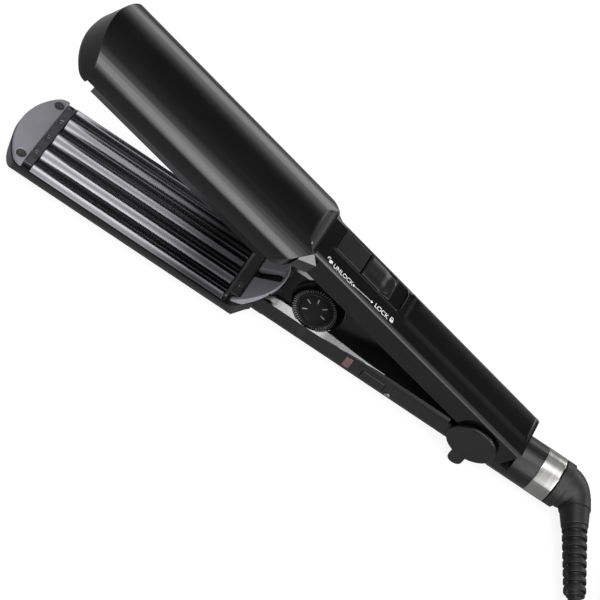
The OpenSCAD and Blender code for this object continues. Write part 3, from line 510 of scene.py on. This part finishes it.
def cord_route():
    """Points of the whole cord in mm: the free run, the coil, and up to the plug."""
    points = [run_place(RUN_REACH * k / RUN_STEPS) for k in range(RUN_STEPS + 1)]
    start = points[-1]
    points.append(start + COIL_LEAD / 2 * ray(LEAD_ANGLE))
    entry = start + COIL_LEAD * ray(LEAD_ANGLE)
    centre = entry + COIL_R_OUT * ray(LEAD_ANGLE + math.pi / 2)
    entry_angle = LEAD_ANGLE - math.pi / 2
    end_angle = entry_angle + math.tau * COIL_TOTAL
    tail_length = TAIL_R * TAIL_TURN
    rise_lead = RISE_TURN * math.tau * COIL_R_OUT

    def rise(s):
        climb = PLUG_Z - COIL_TOP + CORD_D / 2
        return climb * smooth((s + rise_lead) / (tail_length + rise_lead))

    for k in range(math.ceil(COIL_TOTAL * TURN_STEPS)):
        t = k / TURN_STEPS
        leg, part = divmod(t / COIL_TURNS, 1)
        reach = COIL_STEP * COIL_TURNS * part
        radius = COIL_R_OUT - reach if leg % 2 == 0 else COIL_R_IN + reach
        climbed = sum(smooth((t - i * COIL_TURNS) / CLIMB_TURN + 0.5)
                      for i in range(1, COIL_LAYERS))
        height = COIL_LAYER * climbed + rise((t - COIL_TOTAL) * math.tau * COIL_R_OUT)
        points.append(centre + radius * ray(entry_angle + math.tau * t) + Vector((0, 0, height)))
    tail_centre = centre + (COIL_R_OUT - TAIL_R) * ray(end_angle)
    for k in range(TAIL_STEPS + 1):
        height = (COIL_LAYERS - 1) * COIL_LAYER + rise(tail_length * k / TAIL_STEPS)
        angle = end_angle + TAIL_TURN * k / TAIL_STEPS
        points.append(tail_centre + TAIL_R * ray(angle) + Vector((0, 0, height)))
    face = points[-1] + COIL_LEAD * ray(end_angle + math.pi / 2 + TAIL_TURN)
    points.append(Vector((face.x, face.y, PLUG_Z)))
    return points


def add_cord():
    points = cord_route()
    curve = bpy.data.curves.new("cord", "CURVE")
    curve.dimensions = "3D"
    curve.bevel_depth = CORD_D / 2 * MM
    curve.bevel_resolution = 5
    curve.use_fill_caps = True
    curve.resolution_u = 3
    spline = curve.splines.new("BEZIER")
    spline.bezier_points.add(len(points) - 1)
    for place, p in zip(spline.bezier_points, points):
        place.co = p * MM
        place.handle_left_type = place.handle_right_type = "AUTO"
    cord = linked("cord", curve, "cord_sheath", "cord_swivel")
    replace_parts(cord, "cord_run", "cord_coil")


# Wavy plates, in mm, and the reach and drop of their rounded ends as shares of PLATE_EDGE
PLATE_X0, PLATE_X1, PLATE_HALF = -131.3, -17.0, 23.9
PLATE_EDGE, PLATE_INSET = 0.35, 0.02
PLATE_BENDS = [(0, 1), (0.3, 0.3), (1, 0), (2, 0)]
RIDGE_Y, WAVE_PITCH, WAVE_DEPTH, WAVE_STEPS = 3.6, 11.8, 2.6, 144
PLATE_GAP, PLATE_RIM = 0.6, 3.4


def wave(y):
    return -WAVE_DEPTH * (1 - math.cos(math.tau * (y - RIDGE_Y) / WAVE_PITCH)) / 2


def add_plate(node, side):
    """A heated plate with a smooth wave: the lower one (side -1) or the upper one (side 1)."""
    bends = [(reach * PLATE_EDGE, drop * PLATE_EDGE) for reach, drop in PLATE_BENDS]
    ends = ([(PLATE_X0 + reach, drop) for reach, drop in bends]
            + [(PLATE_X1 - reach, drop) for reach, drop in reversed(bends)])
    foot = CONTACT_Z + side * (PLATE_RIM - PLATE_INSET)
    across = [PLATE_HALF * (2 * k / WAVE_STEPS - 1) for k in range(WAVE_STEPS + 1)]
    rings = []
    for x, drop in ends:
        ring = [(x, y, CONTACT_Z + wave(y) + side * (PLATE_GAP / 2 + drop)) for y in across]
        rings.append(ring + [(x, PLATE_HALF, foot), (x, -PLATE_HALF, foot)])
    mesh = loft(node + "_finish", rings, angle=50)
    if side > 0:
        swung(mesh)
    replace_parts(linked(node + "_finish", mesh, "plate_coat", body_of(node)), node)


# Lower cover in mm: flat in the middle, with a strip that falls away on each side, the near one
# narrowing towards the hinge, a rounded near edge, and its front end cut round the ramp. A strip
# and the edge are given by where they bend, how far the bend is rounded, and their slope.
COVER_X0, COVER_X1, COVER_HALF = -1.0, 111.5, 14.3
COVER_Z0, COVER_Z1, COVER_LEAST = 24.0, 26.2, 0.05
COVER_RINGS, COVER_STEPS = 38, 72
COVER_FRONT_X, FRONT_FALL = 5.3, 0.15
STRIP_NEAR = (8.6, 2.0, 0.455)
STRIP_FAR = (9.3, 0.8, 0.287)
COVER_EDGE = (12.9, 0.4, 1.8)
STRIP_TURN_X, STRIP_NARROWING = 35, 0.0855
RAMP_PLACE, RAMP_R = (-16.9, 0), 22.3
DIAL_WELL_R = 14.3
CUT_STEPS, CUT_Z0, CUT_Z1 = 120, 0, 60
CUT_ANGLE = math.radians(30)


def strip_fall(reach, soft, slope):
    """How far a surface has fallen at a distance past its bend, which is rounded over soft mm."""
    reach = max(reach, 0)
    return slope * (reach * reach / (2 * soft) if reach < soft else reach - soft / 2)


def cover_top(x, y):
    """Height of the cover's top at x, y."""
    near_y, *near_bend = STRIP_NEAR
    edge_y, *edge_bend = COVER_EDGE
    far_y, *far_bend = STRIP_FAR
    narrowed = max(x - STRIP_TURN_X, 0) * STRIP_NARROWING
    near = max(strip_fall(-y - near_y - narrowed, *near_bend),
               strip_fall(-y - edge_y, *edge_bend))
    far = strip_fall(y - far_y, *far_bend)
    front = max(COVER_FRONT_X - x, 0) * FRONT_FALL
    return max(COVER_Z1 - near - far - front, COVER_Z0 + COVER_LEAST)


def carved(name, mesh, cutters):
    """The mesh less round cutters of x, y and radius in mm."""
    base = bpy.data.objects.new(name, mesh)
    spare = [base]
    angles = [math.tau * i / CUT_STEPS for i in range(CUT_STEPS)]
    for k, (x, y, radius) in enumerate(cutters):
        outline = [(x + radius * math.cos(a), y + radius * math.sin(a)) for a in angles]
        cutter = bpy.data.objects.new("%s_cut_%d" % (name, k),
                                      slab(name, outline, CUT_Z0, CUT_Z1))
        cut = base.modifiers.new(cutter.name, "BOOLEAN")
        cut.operation = "DIFFERENCE"
        cut.object = cutter
        spare.append(cutter)
    for obj in spare:
        scene.collection.objects.link(obj)
    result = final_mesh(base)
    for obj in spare:
        bpy.data.objects.remove(obj)
    result.set_sharp_from_angle(angle=CUT_ANGLE)
    return result


def add_cover():
    across = [COVER_HALF * (2 * k / COVER_STEPS - 1) for k in range(COVER_STEPS + 1)]
    rings = []
    for i in range(COVER_RINGS + 1):
        x = COVER_X0 + (COVER_X1 - COVER_X0) * i / COVER_RINGS
        ring = [(x, y, cover_top(x, y)) for y in across]
        rings.append(ring + [(x, COVER_HALF, COVER_Z0), (x, -COVER_HALF, COVER_Z0)])
    cuts = [(*RAMP_PLACE, RAMP_R), (DIAL_X, 0, DIAL_WELL_R)]
    name = "lower_cover_finish"
    mesh = carved(name, loft(name, rings), cuts)
    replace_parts(linked(name, mesh, "gloss_black", "lower_arm", "gloss_cover"), "lower_cover")


# Dial in mm: radius, height and knurl depth of its profile, and how much a tooth's cut lowers it
DIAL_TEETH, DIAL_STEPS, TOOTH_FALL = 52, 5, 0.6
DIAL_PROFILE = [
    (7.5, 14.1, 0), (11.2, 14.1, 0), (11.6, 14.5, 0.45), (11.6, 18.2, 0.45), (12.1, 18.7, 0.5),
    (12.25, 19.1, 0.55), (12.25, 19.9, 0.55), (11.8, 20.5, 0.5), (10.4, 20.8, 0.4),
    (9.3, 20.9, 0.2), (8.8, 20.8, 0), (8.5, 20.3, 0), (8.25, 20.3, 0), (8.0, 20.75, 0),
    (7.7, 20.85, 0)]
# Radius, height and lift of the teeth's edges, coloured pale as a painted highlight, half their
# width, the share of it on top, and the length over which the lift leans outward
KNURL_EDGE = [(10.1, 20.6, 0.3), (10.8, 20.45, 0.35), (11.7, 20.15, 0.4), (12.1, 19.5, 0.2)]
KNURL_HALF, KNURL_TOP, KNURL_LEAN = 0.2, 0.5, 3
# Ticks on the dial's face: their outline along and across a ray, and their two heights
TICK_COUNT, TICK_FIRST, TICK_STEP = 5, math.radians(-15.5), math.radians(56.2)
TICK_OUTLINE = [(4.2, -0.22), (6.6, -0.3), (6.9, 0), (6.6, 0.3), (4.2, 0.22), (4.0, 0)]
TICK_Z0, TICK_Z1 = 20.8, 20.9


def add_dial():
    """Knurled dial with a plain face and printed ticks."""
    steps = DIAL_TEETH * DIAL_STEPS
    rings = []
    for radius, height, knurl in DIAL_PROFILE:
        ring = []
        for k in range(steps):
            cut = knurl * (0.5 + 0.5 * math.cos(math.tau * k / DIAL_STEPS))
            angle = math.tau * k / steps
            ring.append(((radius - cut) * math.cos(angle) + DIAL_X,
                         (radius - cut) * math.sin(angle), height - TOOTH_FALL * cut))
        rings.append(ring)
    name = "temperature_dial_finish"
    dial = linked(name, loft(name, rings, angle=25), "soft_black", "temperature_dial")
    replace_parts(dial, "temperature_dial")
    centre = Vector((DIAL_X, 0, 0))
    for k in range(TICK_COUNT):
        angle = TICK_FIRST + k * TICK_STEP
        along, across = ray(angle), ray(angle + math.pi / 2)
        outline = [(centre + a * along + b * across).xy for a, b in TICK_OUTLINE]
        name = "dial_tick_%d" % k
        linked(name, slab(name, outline, TICK_Z0, TICK_Z1), "print", "temperature_dial")


def add_knurl():
    """Edges of the dial's teeth, coloured pale as a painted highlight, as one piece."""
    points, faces = [], []
    for k in range(DIAL_TEETH):
        angle = math.tau * (k + 0.5) / DIAL_TEETH
        along, across = ray(angle), ray(angle + math.pi / 2)
        sides = [-KNURL_HALF * across, -KNURL_TOP * KNURL_HALF * across,
                 KNURL_TOP * KNURL_HALF * across, KNURL_HALF * across]
        faces += skin(len(KNURL_EDGE), len(sides), first=len(points))
        for radius, height, lift in KNURL_EDGE:
            base = Vector((DIAL_X, 0, height)) + radius * along
            top = base + lift * (along * (radius - KNURL_EDGE[0][0]) / KNURL_LEAN + UP)
            points += [place + side for place, side in zip((base, top, top, base), sides)]
    mesh = mesh_of("dial_knurl", points, faces)
    # The teeth's edges get a pale grey as a painted highlight.
    linked("dial_knurl", mesh, "soft_black", "temperature_dial", "worn")


# Well round the dial, radius and height in mm, and the rims at both ends of the cover's opening,
# radius and lift over the cover
WELL_PROFILE = [(12.2, 13.6), (14.6, 13.6), (14.6, 24.0), (14.25, 24.0), (14.25, 14.0),
                (12.2, 14.0)]
BEZEL_PROFILE = [(14.25, -0.9), (14.25, 0.05), (14.35, 0.16), (14.6, 0.16), (14.75, 0.02),
                 (14.75, -0.9)]
BEZEL_REACH = math.radians(68)
WELL_STEPS, BEZEL_STEPS = 120, 60


def dial_place(along, radius):
    return DIAL_X + radius * along.x, radius * along.y


def add_well():
    rings = []
    for k in range(WELL_STEPS):
        along = ray(math.tau * k / WELL_STEPS)
        rings.append([(*dial_place(along, radius), height) for radius, height in WELL_PROFILE])
    linked("dial_well", loft("dial_well", rings, endless=True), "soft_black", "lower_arm")
    for middle, name in ((0, "dial_rim_rear"), (math.pi, "dial_rim_front")):
        rings = []
        for k in range(BEZEL_STEPS + 1):
            along = ray(middle + BEZEL_REACH * (2 * k / BEZEL_STEPS - 1))
            places = [(*dial_place(along, radius), lift) for radius, lift in BEZEL_PROFILE]
            rings.append([(x, y, cover_top(x, y) + lift) for x, y, lift in places])
        linked(name, loft(name, rings), "gloss_black", "lower_arm")


# Smooth bend over the swivel's elbow, in mm: its path and its radius at both ends
HOOD_FROM, HOOD_TURN = Vector((179.9, 0, BARREL_Z)), Vector((SLEEVE_X, 0, BARREL_Z))
HOOD_ALONG = 9.5
HOOD_LAST = HOOD_TURN + HOOD_ALONG * SLEEVE_DIR
HOOD_R0, HOOD_R1 = 11.45, 8.25
HOOD_STEPS, HOOD_SIDES = 24, 64


def add_hood():
    angles = [math.tau * i / HOOD_SIDES for i in range(HOOD_SIDES)]
    rings = []
    for k in range(HOOD_STEPS + 1):
        t = k / HOOD_STEPS
        centre = HOOD_FROM.lerp(HOOD_TURN, t).lerp(HOOD_TURN.lerp(HOOD_LAST, t), t)
        way = ((HOOD_TURN - HOOD_FROM) * (1 - t) + (HOOD_LAST - HOOD_TURN) * t).normalized()
        side = way.cross(UP)
        radius = HOOD_R0 + (HOOD_R1 - HOOD_R0) * smooth(t)
        rings.append([centre + radius * (math.cos(a) * side + math.sin(a) * UP) for a in angles])
    linked("elbow_hood", loft("elbow_hood", rings), "soft_black", "cord_swivel")


# Latch slider's thumb pad, closed, in mm: its round rear, its bevelled front, its top with a scoop
# and a lip behind it, and its section as steps in from the side and down from the top
SLIDER_Y = 4.0
PAD_X0, PAD_X1, PAD_HALF, PAD_STEPS = 22.9, 41.5, 6.0, 48
PAD_ROUND, PAD_ROUND_POWER, PAD_END_SHARE = 7.0, 2.6, 0.25
PAD_END_RUN, PAD_END_DROP = 0.1, 0.4
PAD_FRONT, PAD_FRONT_IN, PAD_FRONT_DROP = 1.2, 0.6, 0.25
PAD_Z0, PAD_Z1, PAD_LIP, PAD_LIP_RUN = 39.0, 39.6, 0.35, 3
PAD_EDGE = [(0, 0.4), (0.15, 0.12), (0.5, 0)]
PAD_MIDDLE_SHARE, PAD_MIDDLE_DROP = 0.3, 0.1
SCOOP_X, SCOOP_HALF, SCOOP_DEPTH = 36.6, 3.4, 0.5


def add_pad():
    """Thumb pad of the slider."""
    rings = []
    for x in eased(PAD_X0, PAD_X1, PAD_STEPS):
        rear = max(x - (PAD_X1 - PAD_ROUND), 0) / PAD_ROUND
        front = max(PAD_X0 + PAD_FRONT - x, 0) / PAD_FRONT
        bow = math.sqrt(max(1 - rear ** PAD_ROUND_POWER, 0))
        half = PAD_HALF * (PAD_END_SHARE + (1 - PAD_END_SHARE) * bow) - PAD_FRONT_IN * front ** 2
        dip = smooth(max(1 - abs(x - SCOOP_X) / SCOOP_HALF, 0))
        top = PAD_Z1 - SCOOP_DEPTH * dip + PAD_LIP * smooth((x - SCOOP_X) / PAD_LIP_RUN)
        end = max(rear - (1 - PAD_END_RUN), 0) / PAD_END_RUN
        top -= PAD_END_DROP * end + PAD_FRONT_DROP * front ** 2
        section = [(half, PAD_Z0)] + [(half - inward, top - drop) for inward, drop in PAD_EDGE]
        section.append((PAD_MIDDLE_SHARE * half, top - PAD_MIDDLE_DROP))
        rings.append([(x, SLIDER_Y - y, z) for y, z in section]
                     + [(x, SLIDER_Y + y, z) for y, z in reversed(section)])
    mesh = swung(loft("slider_pad", rings, angle=40))
    linked("slider_pad", mesh, "satin_black", "lock_slider")


# Rim of the slider's track, closed, in mm: its corner radii at the rear and in front, and its
# section outward and upward
TRACK_X0, TRACK_X1, TRACK_HALF, TRACK_REAR_R, TRACK_FRONT_R = 4.0, 49.4, 7.1, 3.0, 0.5
RIM_SECTION = [(-0.05, -0.3), (-0.05, 0.16), (0.12, 0.28), (0.4, 0.28), (0.6, 0.16), (0.65, 0)]
RIM_STEPS = 9


def add_track_rim():
    """Thin raised rim round the slider's track."""
    rear, front = TRACK_X1 - TRACK_REAR_R, TRACK_X0 + TRACK_FRONT_R
    corners = [(rear, 1, TRACK_REAR_R), (front, 1, TRACK_FRONT_R),
               (front, -1, TRACK_FRONT_R), (rear, -1, TRACK_REAR_R)]
    rings = []
    for quarter, (x, side, radius) in enumerate(corners):
        centre = Vector((x, side * (TRACK_HALF - radius) + SLIDER_Y, HANDLE_TOP))
        for i in range(RIM_STEPS + 1):
            along = ray(math.radians(90 * quarter + 90 * i / RIM_STEPS))
            rings.append([centre + (radius + out) * along + Vector((0, 0, height))
                          for out, height in RIM_SECTION])
    mesh = swung(loft("track_rim", rings, endless=True))
    linked("track_rim", mesh, "gloss_black", "upper_arm")


# Raised panel on top of the upper handle, closed, in mm: its ends, the lengths over which they
# rise, and its section of y and height
PANEL_X0, PANEL_X1, PANEL_FRONT, PANEL_REAR, PANEL_STEPS = 51.5, 145.4, 5.0, 1.2, 40
PANEL_SECTION = [(-5.8, -0.4), (-5.6, 0.05), (-5.0, 0.16), (-3.2, 0.74), (-2.4, 0.94),
                 (-1.4, 1.0), (4, 1.0), (10.6, 1.0), (11.2, 0.9), (11.6, 0.6), (11.8, -0.4)]


def add_panel():
    rings = []
    for x in eased(PANEL_X0, PANEL_X1, PANEL_STEPS):
        lift = smooth(min((x - PANEL_X0) / PANEL_FRONT, (PANEL_X1 - x) / PANEL_REAR))
        rings.append([(x, y, HANDLE_TOP + (height * lift if height > 0 else height))
                      for y, height in PANEL_SECTION])
    mesh = swung(loft("handle_panel", rings, angle=40))
    linked("handle_panel", mesh, "gloss_black", "upper_arm")


# Corners of the faces between the upper head and the handle's near side, closed, in mm
SHOULDER = [(-7.8, -10.9, 40.2), (-7.0, -20.1, 34.2), (2.7, -15.4, 34.2), (-6.4, -18.9, 24.7),
            (3, -15.35, 24.7), (-7.2, -12.5, 31), (2, -12.5, 31)]


def add_shoulders():
    for name, side in (("shoulder_near", 1), ("shoulder_far", -1)):
        bm = bmesh.new()
        for x, y, z in SHOULDER:
            bm.verts.new(Vector((x, side * y, z)) * MM)
        hull = bmesh.ops.convex_hull(bm, input=bm.verts)
        bmesh.ops.delete(bm, geom=hull["geom_interior"], context="VERTS")
        bmesh.ops.recalc_face_normals(bm, faces=bm.faces)
        mesh = bpy.data.meshes.new(name)
        bm.to_mesh(mesh)
        bm.free()
        linked(name, swung(mesh), "gloss_black", "upper_arm")


# Pad prints on the upper handle's top, closed, in mm
PRINT_Z, PRINT_T = HANDLE_TOP + 0.02, 0.03
# Words: name, text, x, y and letter size, and their height, thickness and boldness
WORDS = [("word_unlock", "UNLOCK", 8.3, -11.9, 3.25), ("word_lock", "LOCK", 37.0, -11.2, 3.5)]
WORD_Z, WORD_T, WORD_BOLD = HANDLE_TOP + 0.03, 0.015, 0.04
# Padlock signs: name, x, y, turn in degrees, and how far the free leg of an open bow is raised
PADLOCKS = [("sign_open", 6.2, -10.4, 15, 0.6), ("sign_closed", 48.6, -9.8, 8, 0)]
LOCK_BODY = [(-0.95, -1.0), (0.95, -1.0), (1.05, -0.9), (1.05, 0.5), (0.95, 0.6), (-0.95, 0.6),
             (-1.05, 0.5), (-1.05, -0.9)]
# The padlock's bow: half width and rise outside and inside, where it springs and ends, and how far
# aside an open one stands
BOW_OUT, BOW_OUT_RISE, BOW_IN, BOW_IN_RISE = 0.9, 0.8, 0.5, 0.42
BOW_SPRING, BOW_FOOT, BOW_ASIDE, BOW_STEPS = 1.1, 0.5, -1.4, 12
# Arrow between the words
ARROW_X, ARROW_Y, ARROW_TURN = 21.6, -11.0, math.radians(3)
ARROW_LENGTH, ARROW_HEAD, ARROW_HEAD_HALF, ARROW_HALF = 14.2, 1.3, 0.75, 0.14


def add_words(name, words, x, y, size):
    """Pad-printed words, starting at x, y."""
    text = bpy.data.curves.new(name, "FONT")
    text.body = words
    text.size = size * MM
    text.extrude = WORD_T * MM
    text.offset = WORD_BOLD * MM
    shape = bpy.data.objects.new(name + "_shape", text)
    scene.collection.objects.link(shape)
    mesh = final_mesh(shape)
    bpy.data.objects.remove(shape)
    place = Matrix.Translation(Vector((x, y, WORD_Z)) * MM)
    linked(name, swung(mesh, place), "print", "upper_arm")


def add_print(name, outline, x, y, turn):
    place = Matrix.Translation(Vector((x, y, PRINT_Z)) * MM) @ Matrix.Rotation(turn, 4, "Z")
    linked(name, swung(slab(name, outline, 0, PRINT_T), place), "print", "upper_arm")


def add_padlock(name, x, y, turn, raised):
    """A small padlock sign: its body and its bow, which stands aside when open."""
    add_print(name + "_body", LOCK_BODY, x, y, turn)
    arc = [k / BOW_STEPS * math.pi for k in range(BOW_STEPS + 1)]
    bow = [(BOW_OUT * math.cos(a), BOW_SPRING + BOW_OUT_RISE * math.sin(a)) for a in arc]
    bow += [(-BOW_OUT, BOW_FOOT), (-BOW_IN, BOW_FOOT)]
    bow += [(-BOW_IN * math.cos(a), BOW_SPRING + BOW_IN_RISE * math.sin(a)) for a in arc]
    bow += [(BOW_IN, BOW_FOOT + raised), (BOW_OUT, BOW_FOOT + raised)]
    shift = Vector((BOW_ASIDE if raised else 0, 0, 0))
    shift.rotate(Matrix.Rotation(turn, 3, "Z"))
    add_print(name + "_bow", bow, x + shift.x, y + shift.y, turn)


def add_signs():
    for row in WORDS:
        add_words(*row)
    for name, x, y, turn, raised in PADLOCKS:
        add_padlock(name, x, y, math.radians(turn), raised)
    neck = ARROW_LENGTH - ARROW_HEAD
    arrow = [(0, 0), (ARROW_HEAD, -ARROW_HEAD_HALF), (ARROW_HEAD, -ARROW_HALF),
             (neck, -ARROW_HALF), (neck, -ARROW_HEAD_HALF), (ARROW_LENGTH, 0),
             (neck, ARROW_HEAD_HALF), (neck, ARROW_HALF), (ARROW_HEAD, ARROW_HALF),
             (ARROW_HEAD, ARROW_HEAD_HALF)]
    add_print("sign_arrow", arrow, ARROW_X, ARROW_Y, ARROW_TURN)


# Stage and light

# Half size of the floor in metres, its two tones, what it scatters where it is seen or mirrored,
# its glow, and the share of the glow that is mirrored near the object and farther away
FLOOR_HALF = 4
FLOOR_TONES = [(0.3, (0.86, 0.86, 0.86)), (0.7, (0.9, 0.9, 0.9))]
FLOOR_FAINT = (0.2, 0.2, 0.2, 1)
FLOOR_GLOW = 0.86
FLOOR_NEAR, FLOOR_FAR = 0.12, 0.05
FLOOR_FADE = (0.25, 0.6)

# Brightness of the surroundings: in each zone by the angle in degrees from the near horizon over
# the top to the far one. A zone fades in between two values of the direction's X, and each is
# named by what mirrors it.
LAMP_LEVEL = 10.5
LAMP_FILL = 0.06
LAMP_FAR = [(140, 0.03), (148, 0.5), (155, 3.0), (163, 3.8), (172, 2.0), (180, 0.6)]
LAMP_DARK = [(118, 0.05), (180, 0.05)]
LAMPS = [
    # Plates
    (-0.5, -0.2, [(0, 0.3), (40, 0.8), (50, 1.4), (58, 2.4), (68, 5.0), (78, 5.0), (86, 4.0),
                  (95, 2.4), (105, 1.2), (115, 0.5), (125, 0.2), (140, 0.06), (180, 0.05)]),
    # The plates' end at the clamp
    (-0.09, -0.03, [(0, 0.25), (60, 0.5), (90, 0.6), (106, 0.1)] + LAMP_DARK),
    # Inner cover
    (-0.01, 0.02, [(0, 0.25), (40, 0.5), (58, 0.8), (66, 5.5), (72, 10.5), (86, 10.5), (98, 3.5),
                   (112, 0.3)] + LAMP_FAR),
    # Barrel
    (0.08, 0.12, [(0, 0.6), (10, 0.6), (25, 0.25), (60, 0.25), (76, 0.8), (84, 3.6), (94, 3.6),
                  (102, 1.0), (118, 0.4), (140, 0.2), (155, 1.0), (180, 0.4)]),
    # Chrome ring
    (0.158, 0.163, [(0, 0.5), (16, 0.73), (24, 0.4), (30, 0.08), (43, 0.15), (57, 0.36),
                    (70, 0.42), (84, 1.3), (101, 1.4), (110, 1.0), (117, 0.53), (134, 0.76),
                    (150, 0.1), (180, 0.2)]),
    # Swivel's elbow
    (0.184, 0.19, [(0, 1.5), (20, 2.0), (45, 1.5), (70, 1.5), (85, 3.0), (100, 3.0), (112, 1.0),
                   (130, 0.4)] + LAMP_FAR),
    # Upper head
    (0.19, 0.22, [(0, 2.6), (8, 4.5), (20, 5.8), (35, 6.0), (48, 4.8), (60, 2.4), (75, 0.9),
                  (95, 0.4), (115, 0.14)] + LAMP_FAR),
    # Upper handle
    (0.435, 0.465, [(0, 1.0), (20, 1.2), (45, 1.2), (60, 1.6), (75, 0.9), (95, 0.4),
                    (115, 0.14)] + LAMP_FAR),
    # Faces between the upper head and the handle
    (0.72, 0.82, [(0, 2.6), (20, 6.0), (38, 9.0), (70, 9.0), (85, 3.0), (100, 0.3)] + LAMP_DARK),
]
LAMP_END = (0.9, 1.0)


def add_floor():
    """White floor: it shows as background, keeps a soft shadow, and is mirrored dimmer."""
    mesh = bpy.data.meshes.new("floor")
    corners = [(x * FLOOR_HALF, y * FLOOR_HALF, 0) for x, y in ((-1, -1), (1, -1), (1, 1), (-1, 1))]
    mesh.from_pydata(corners, [], [(0, 1, 2, 3)])
    floor = bpy.data.objects.new("floor", mesh)
    scene.collection.objects.link(floor)
    n = Nodes(bpy.data.materials.new("floor"))
    path = n.add("ShaderNodeLightPath").outputs
    seen = n.math("MAXIMUM", path["Is Camera Ray"], path["Is Glossy Ray"])
    seen = n.math("MAXIMUM", seen, path["Is Transmission Ray"])
    plain = n.add("ShaderNodeBsdfDiffuse")
    n.join(n.ramp(n.noise(scale=3, detail=2), FLOOR_TONES), plain.inputs["Color"])
    faint = n.add("ShaderNodeBsdfDiffuse")
    faint.inputs["Color"].default_value = FLOOR_FAINT
    reach = n.add("ShaderNodeVectorMath", operation="LENGTH")
    n.join(n.place, reach.inputs[0])
    near = n.span(reach.outputs["Value"], FLOOR_NEAR, FLOOR_FAR, *FLOOR_FADE, "SMOOTHSTEP")
    glow = n.add("ShaderNodeEmission")
    share = n.math("MAXIMUM", near, path["Is Camera Ray"])
    n.join(n.math("MULTIPLY", share, FLOOR_GLOW), glow.inputs["Strength"])
    white = n.add("ShaderNodeAddShader")
    n.join(faint.outputs[0], white.inputs[0])
    n.join(glow.outputs[0], white.inputs[1])
    mix = n.add("ShaderNodeMixShader")
    n.join(seen, mix.inputs["Fac"])
    n.join(plain.outputs[0], mix.inputs[1])
    n.join(white.outputs[0], mix.inputs[2])
    n.join(mix.outputs[0], n.tree.nodes["Material Output"].inputs["Surface"])
    n.tree.nodes.remove(n.shader)
    mesh.materials.append(n.block)


def add_light():
    """Studio light from all round, by the zones of LAMPS, with a faint fill where they end."""
    scene.world = bpy.data.worlds.new("world")
    n = Nodes(scene.world, "Background", "Generated")
    axes = n.axes()
    over = n.math("ARCTAN2", axes["Z"], n.math("MULTIPLY", axes["Y"], -1))
    around = n.span(over, 0, 1, 0, math.pi)
    fill = LAMP_FILL / LAMP_LEVEL
    light = fill
    for start, end, arc in LAMPS:
        boxes = n.ramp(around, [(angle / 180, (level / LAMP_LEVEL,) * 3) for angle, level in arc])
        side = n.span(axes["X"], 0, 1, start, end, "SMOOTHSTEP")
        light = n.math("ADD", n.math("MULTIPLY", light, n.math("SUBTRACT", 1, side)),
                       n.math("MULTIPLY", boxes, side))
    light = n.math("MULTIPLY", light, n.span(axes["X"], 1, 0, *LAMP_END, "SMOOTHSTEP"))
    n.join(n.math("MAXIMUM", light, fill), n.shader.inputs["Color"])
    n.shader.inputs["Strength"].default_value = LAMP_LEVEL


add_camera()
add_finishes()
add_cord()
add_cover()
add_plate("lower_plate", -1)
add_plate("upper_plate", 1)
add_dial()
add_knurl()
add_well()
add_hood()
add_pad()
add_track_rim()
add_panel()
add_shoulders()
add_signs()
add_floor()
add_light()
scene.view_settings.view_transform = "Standard"
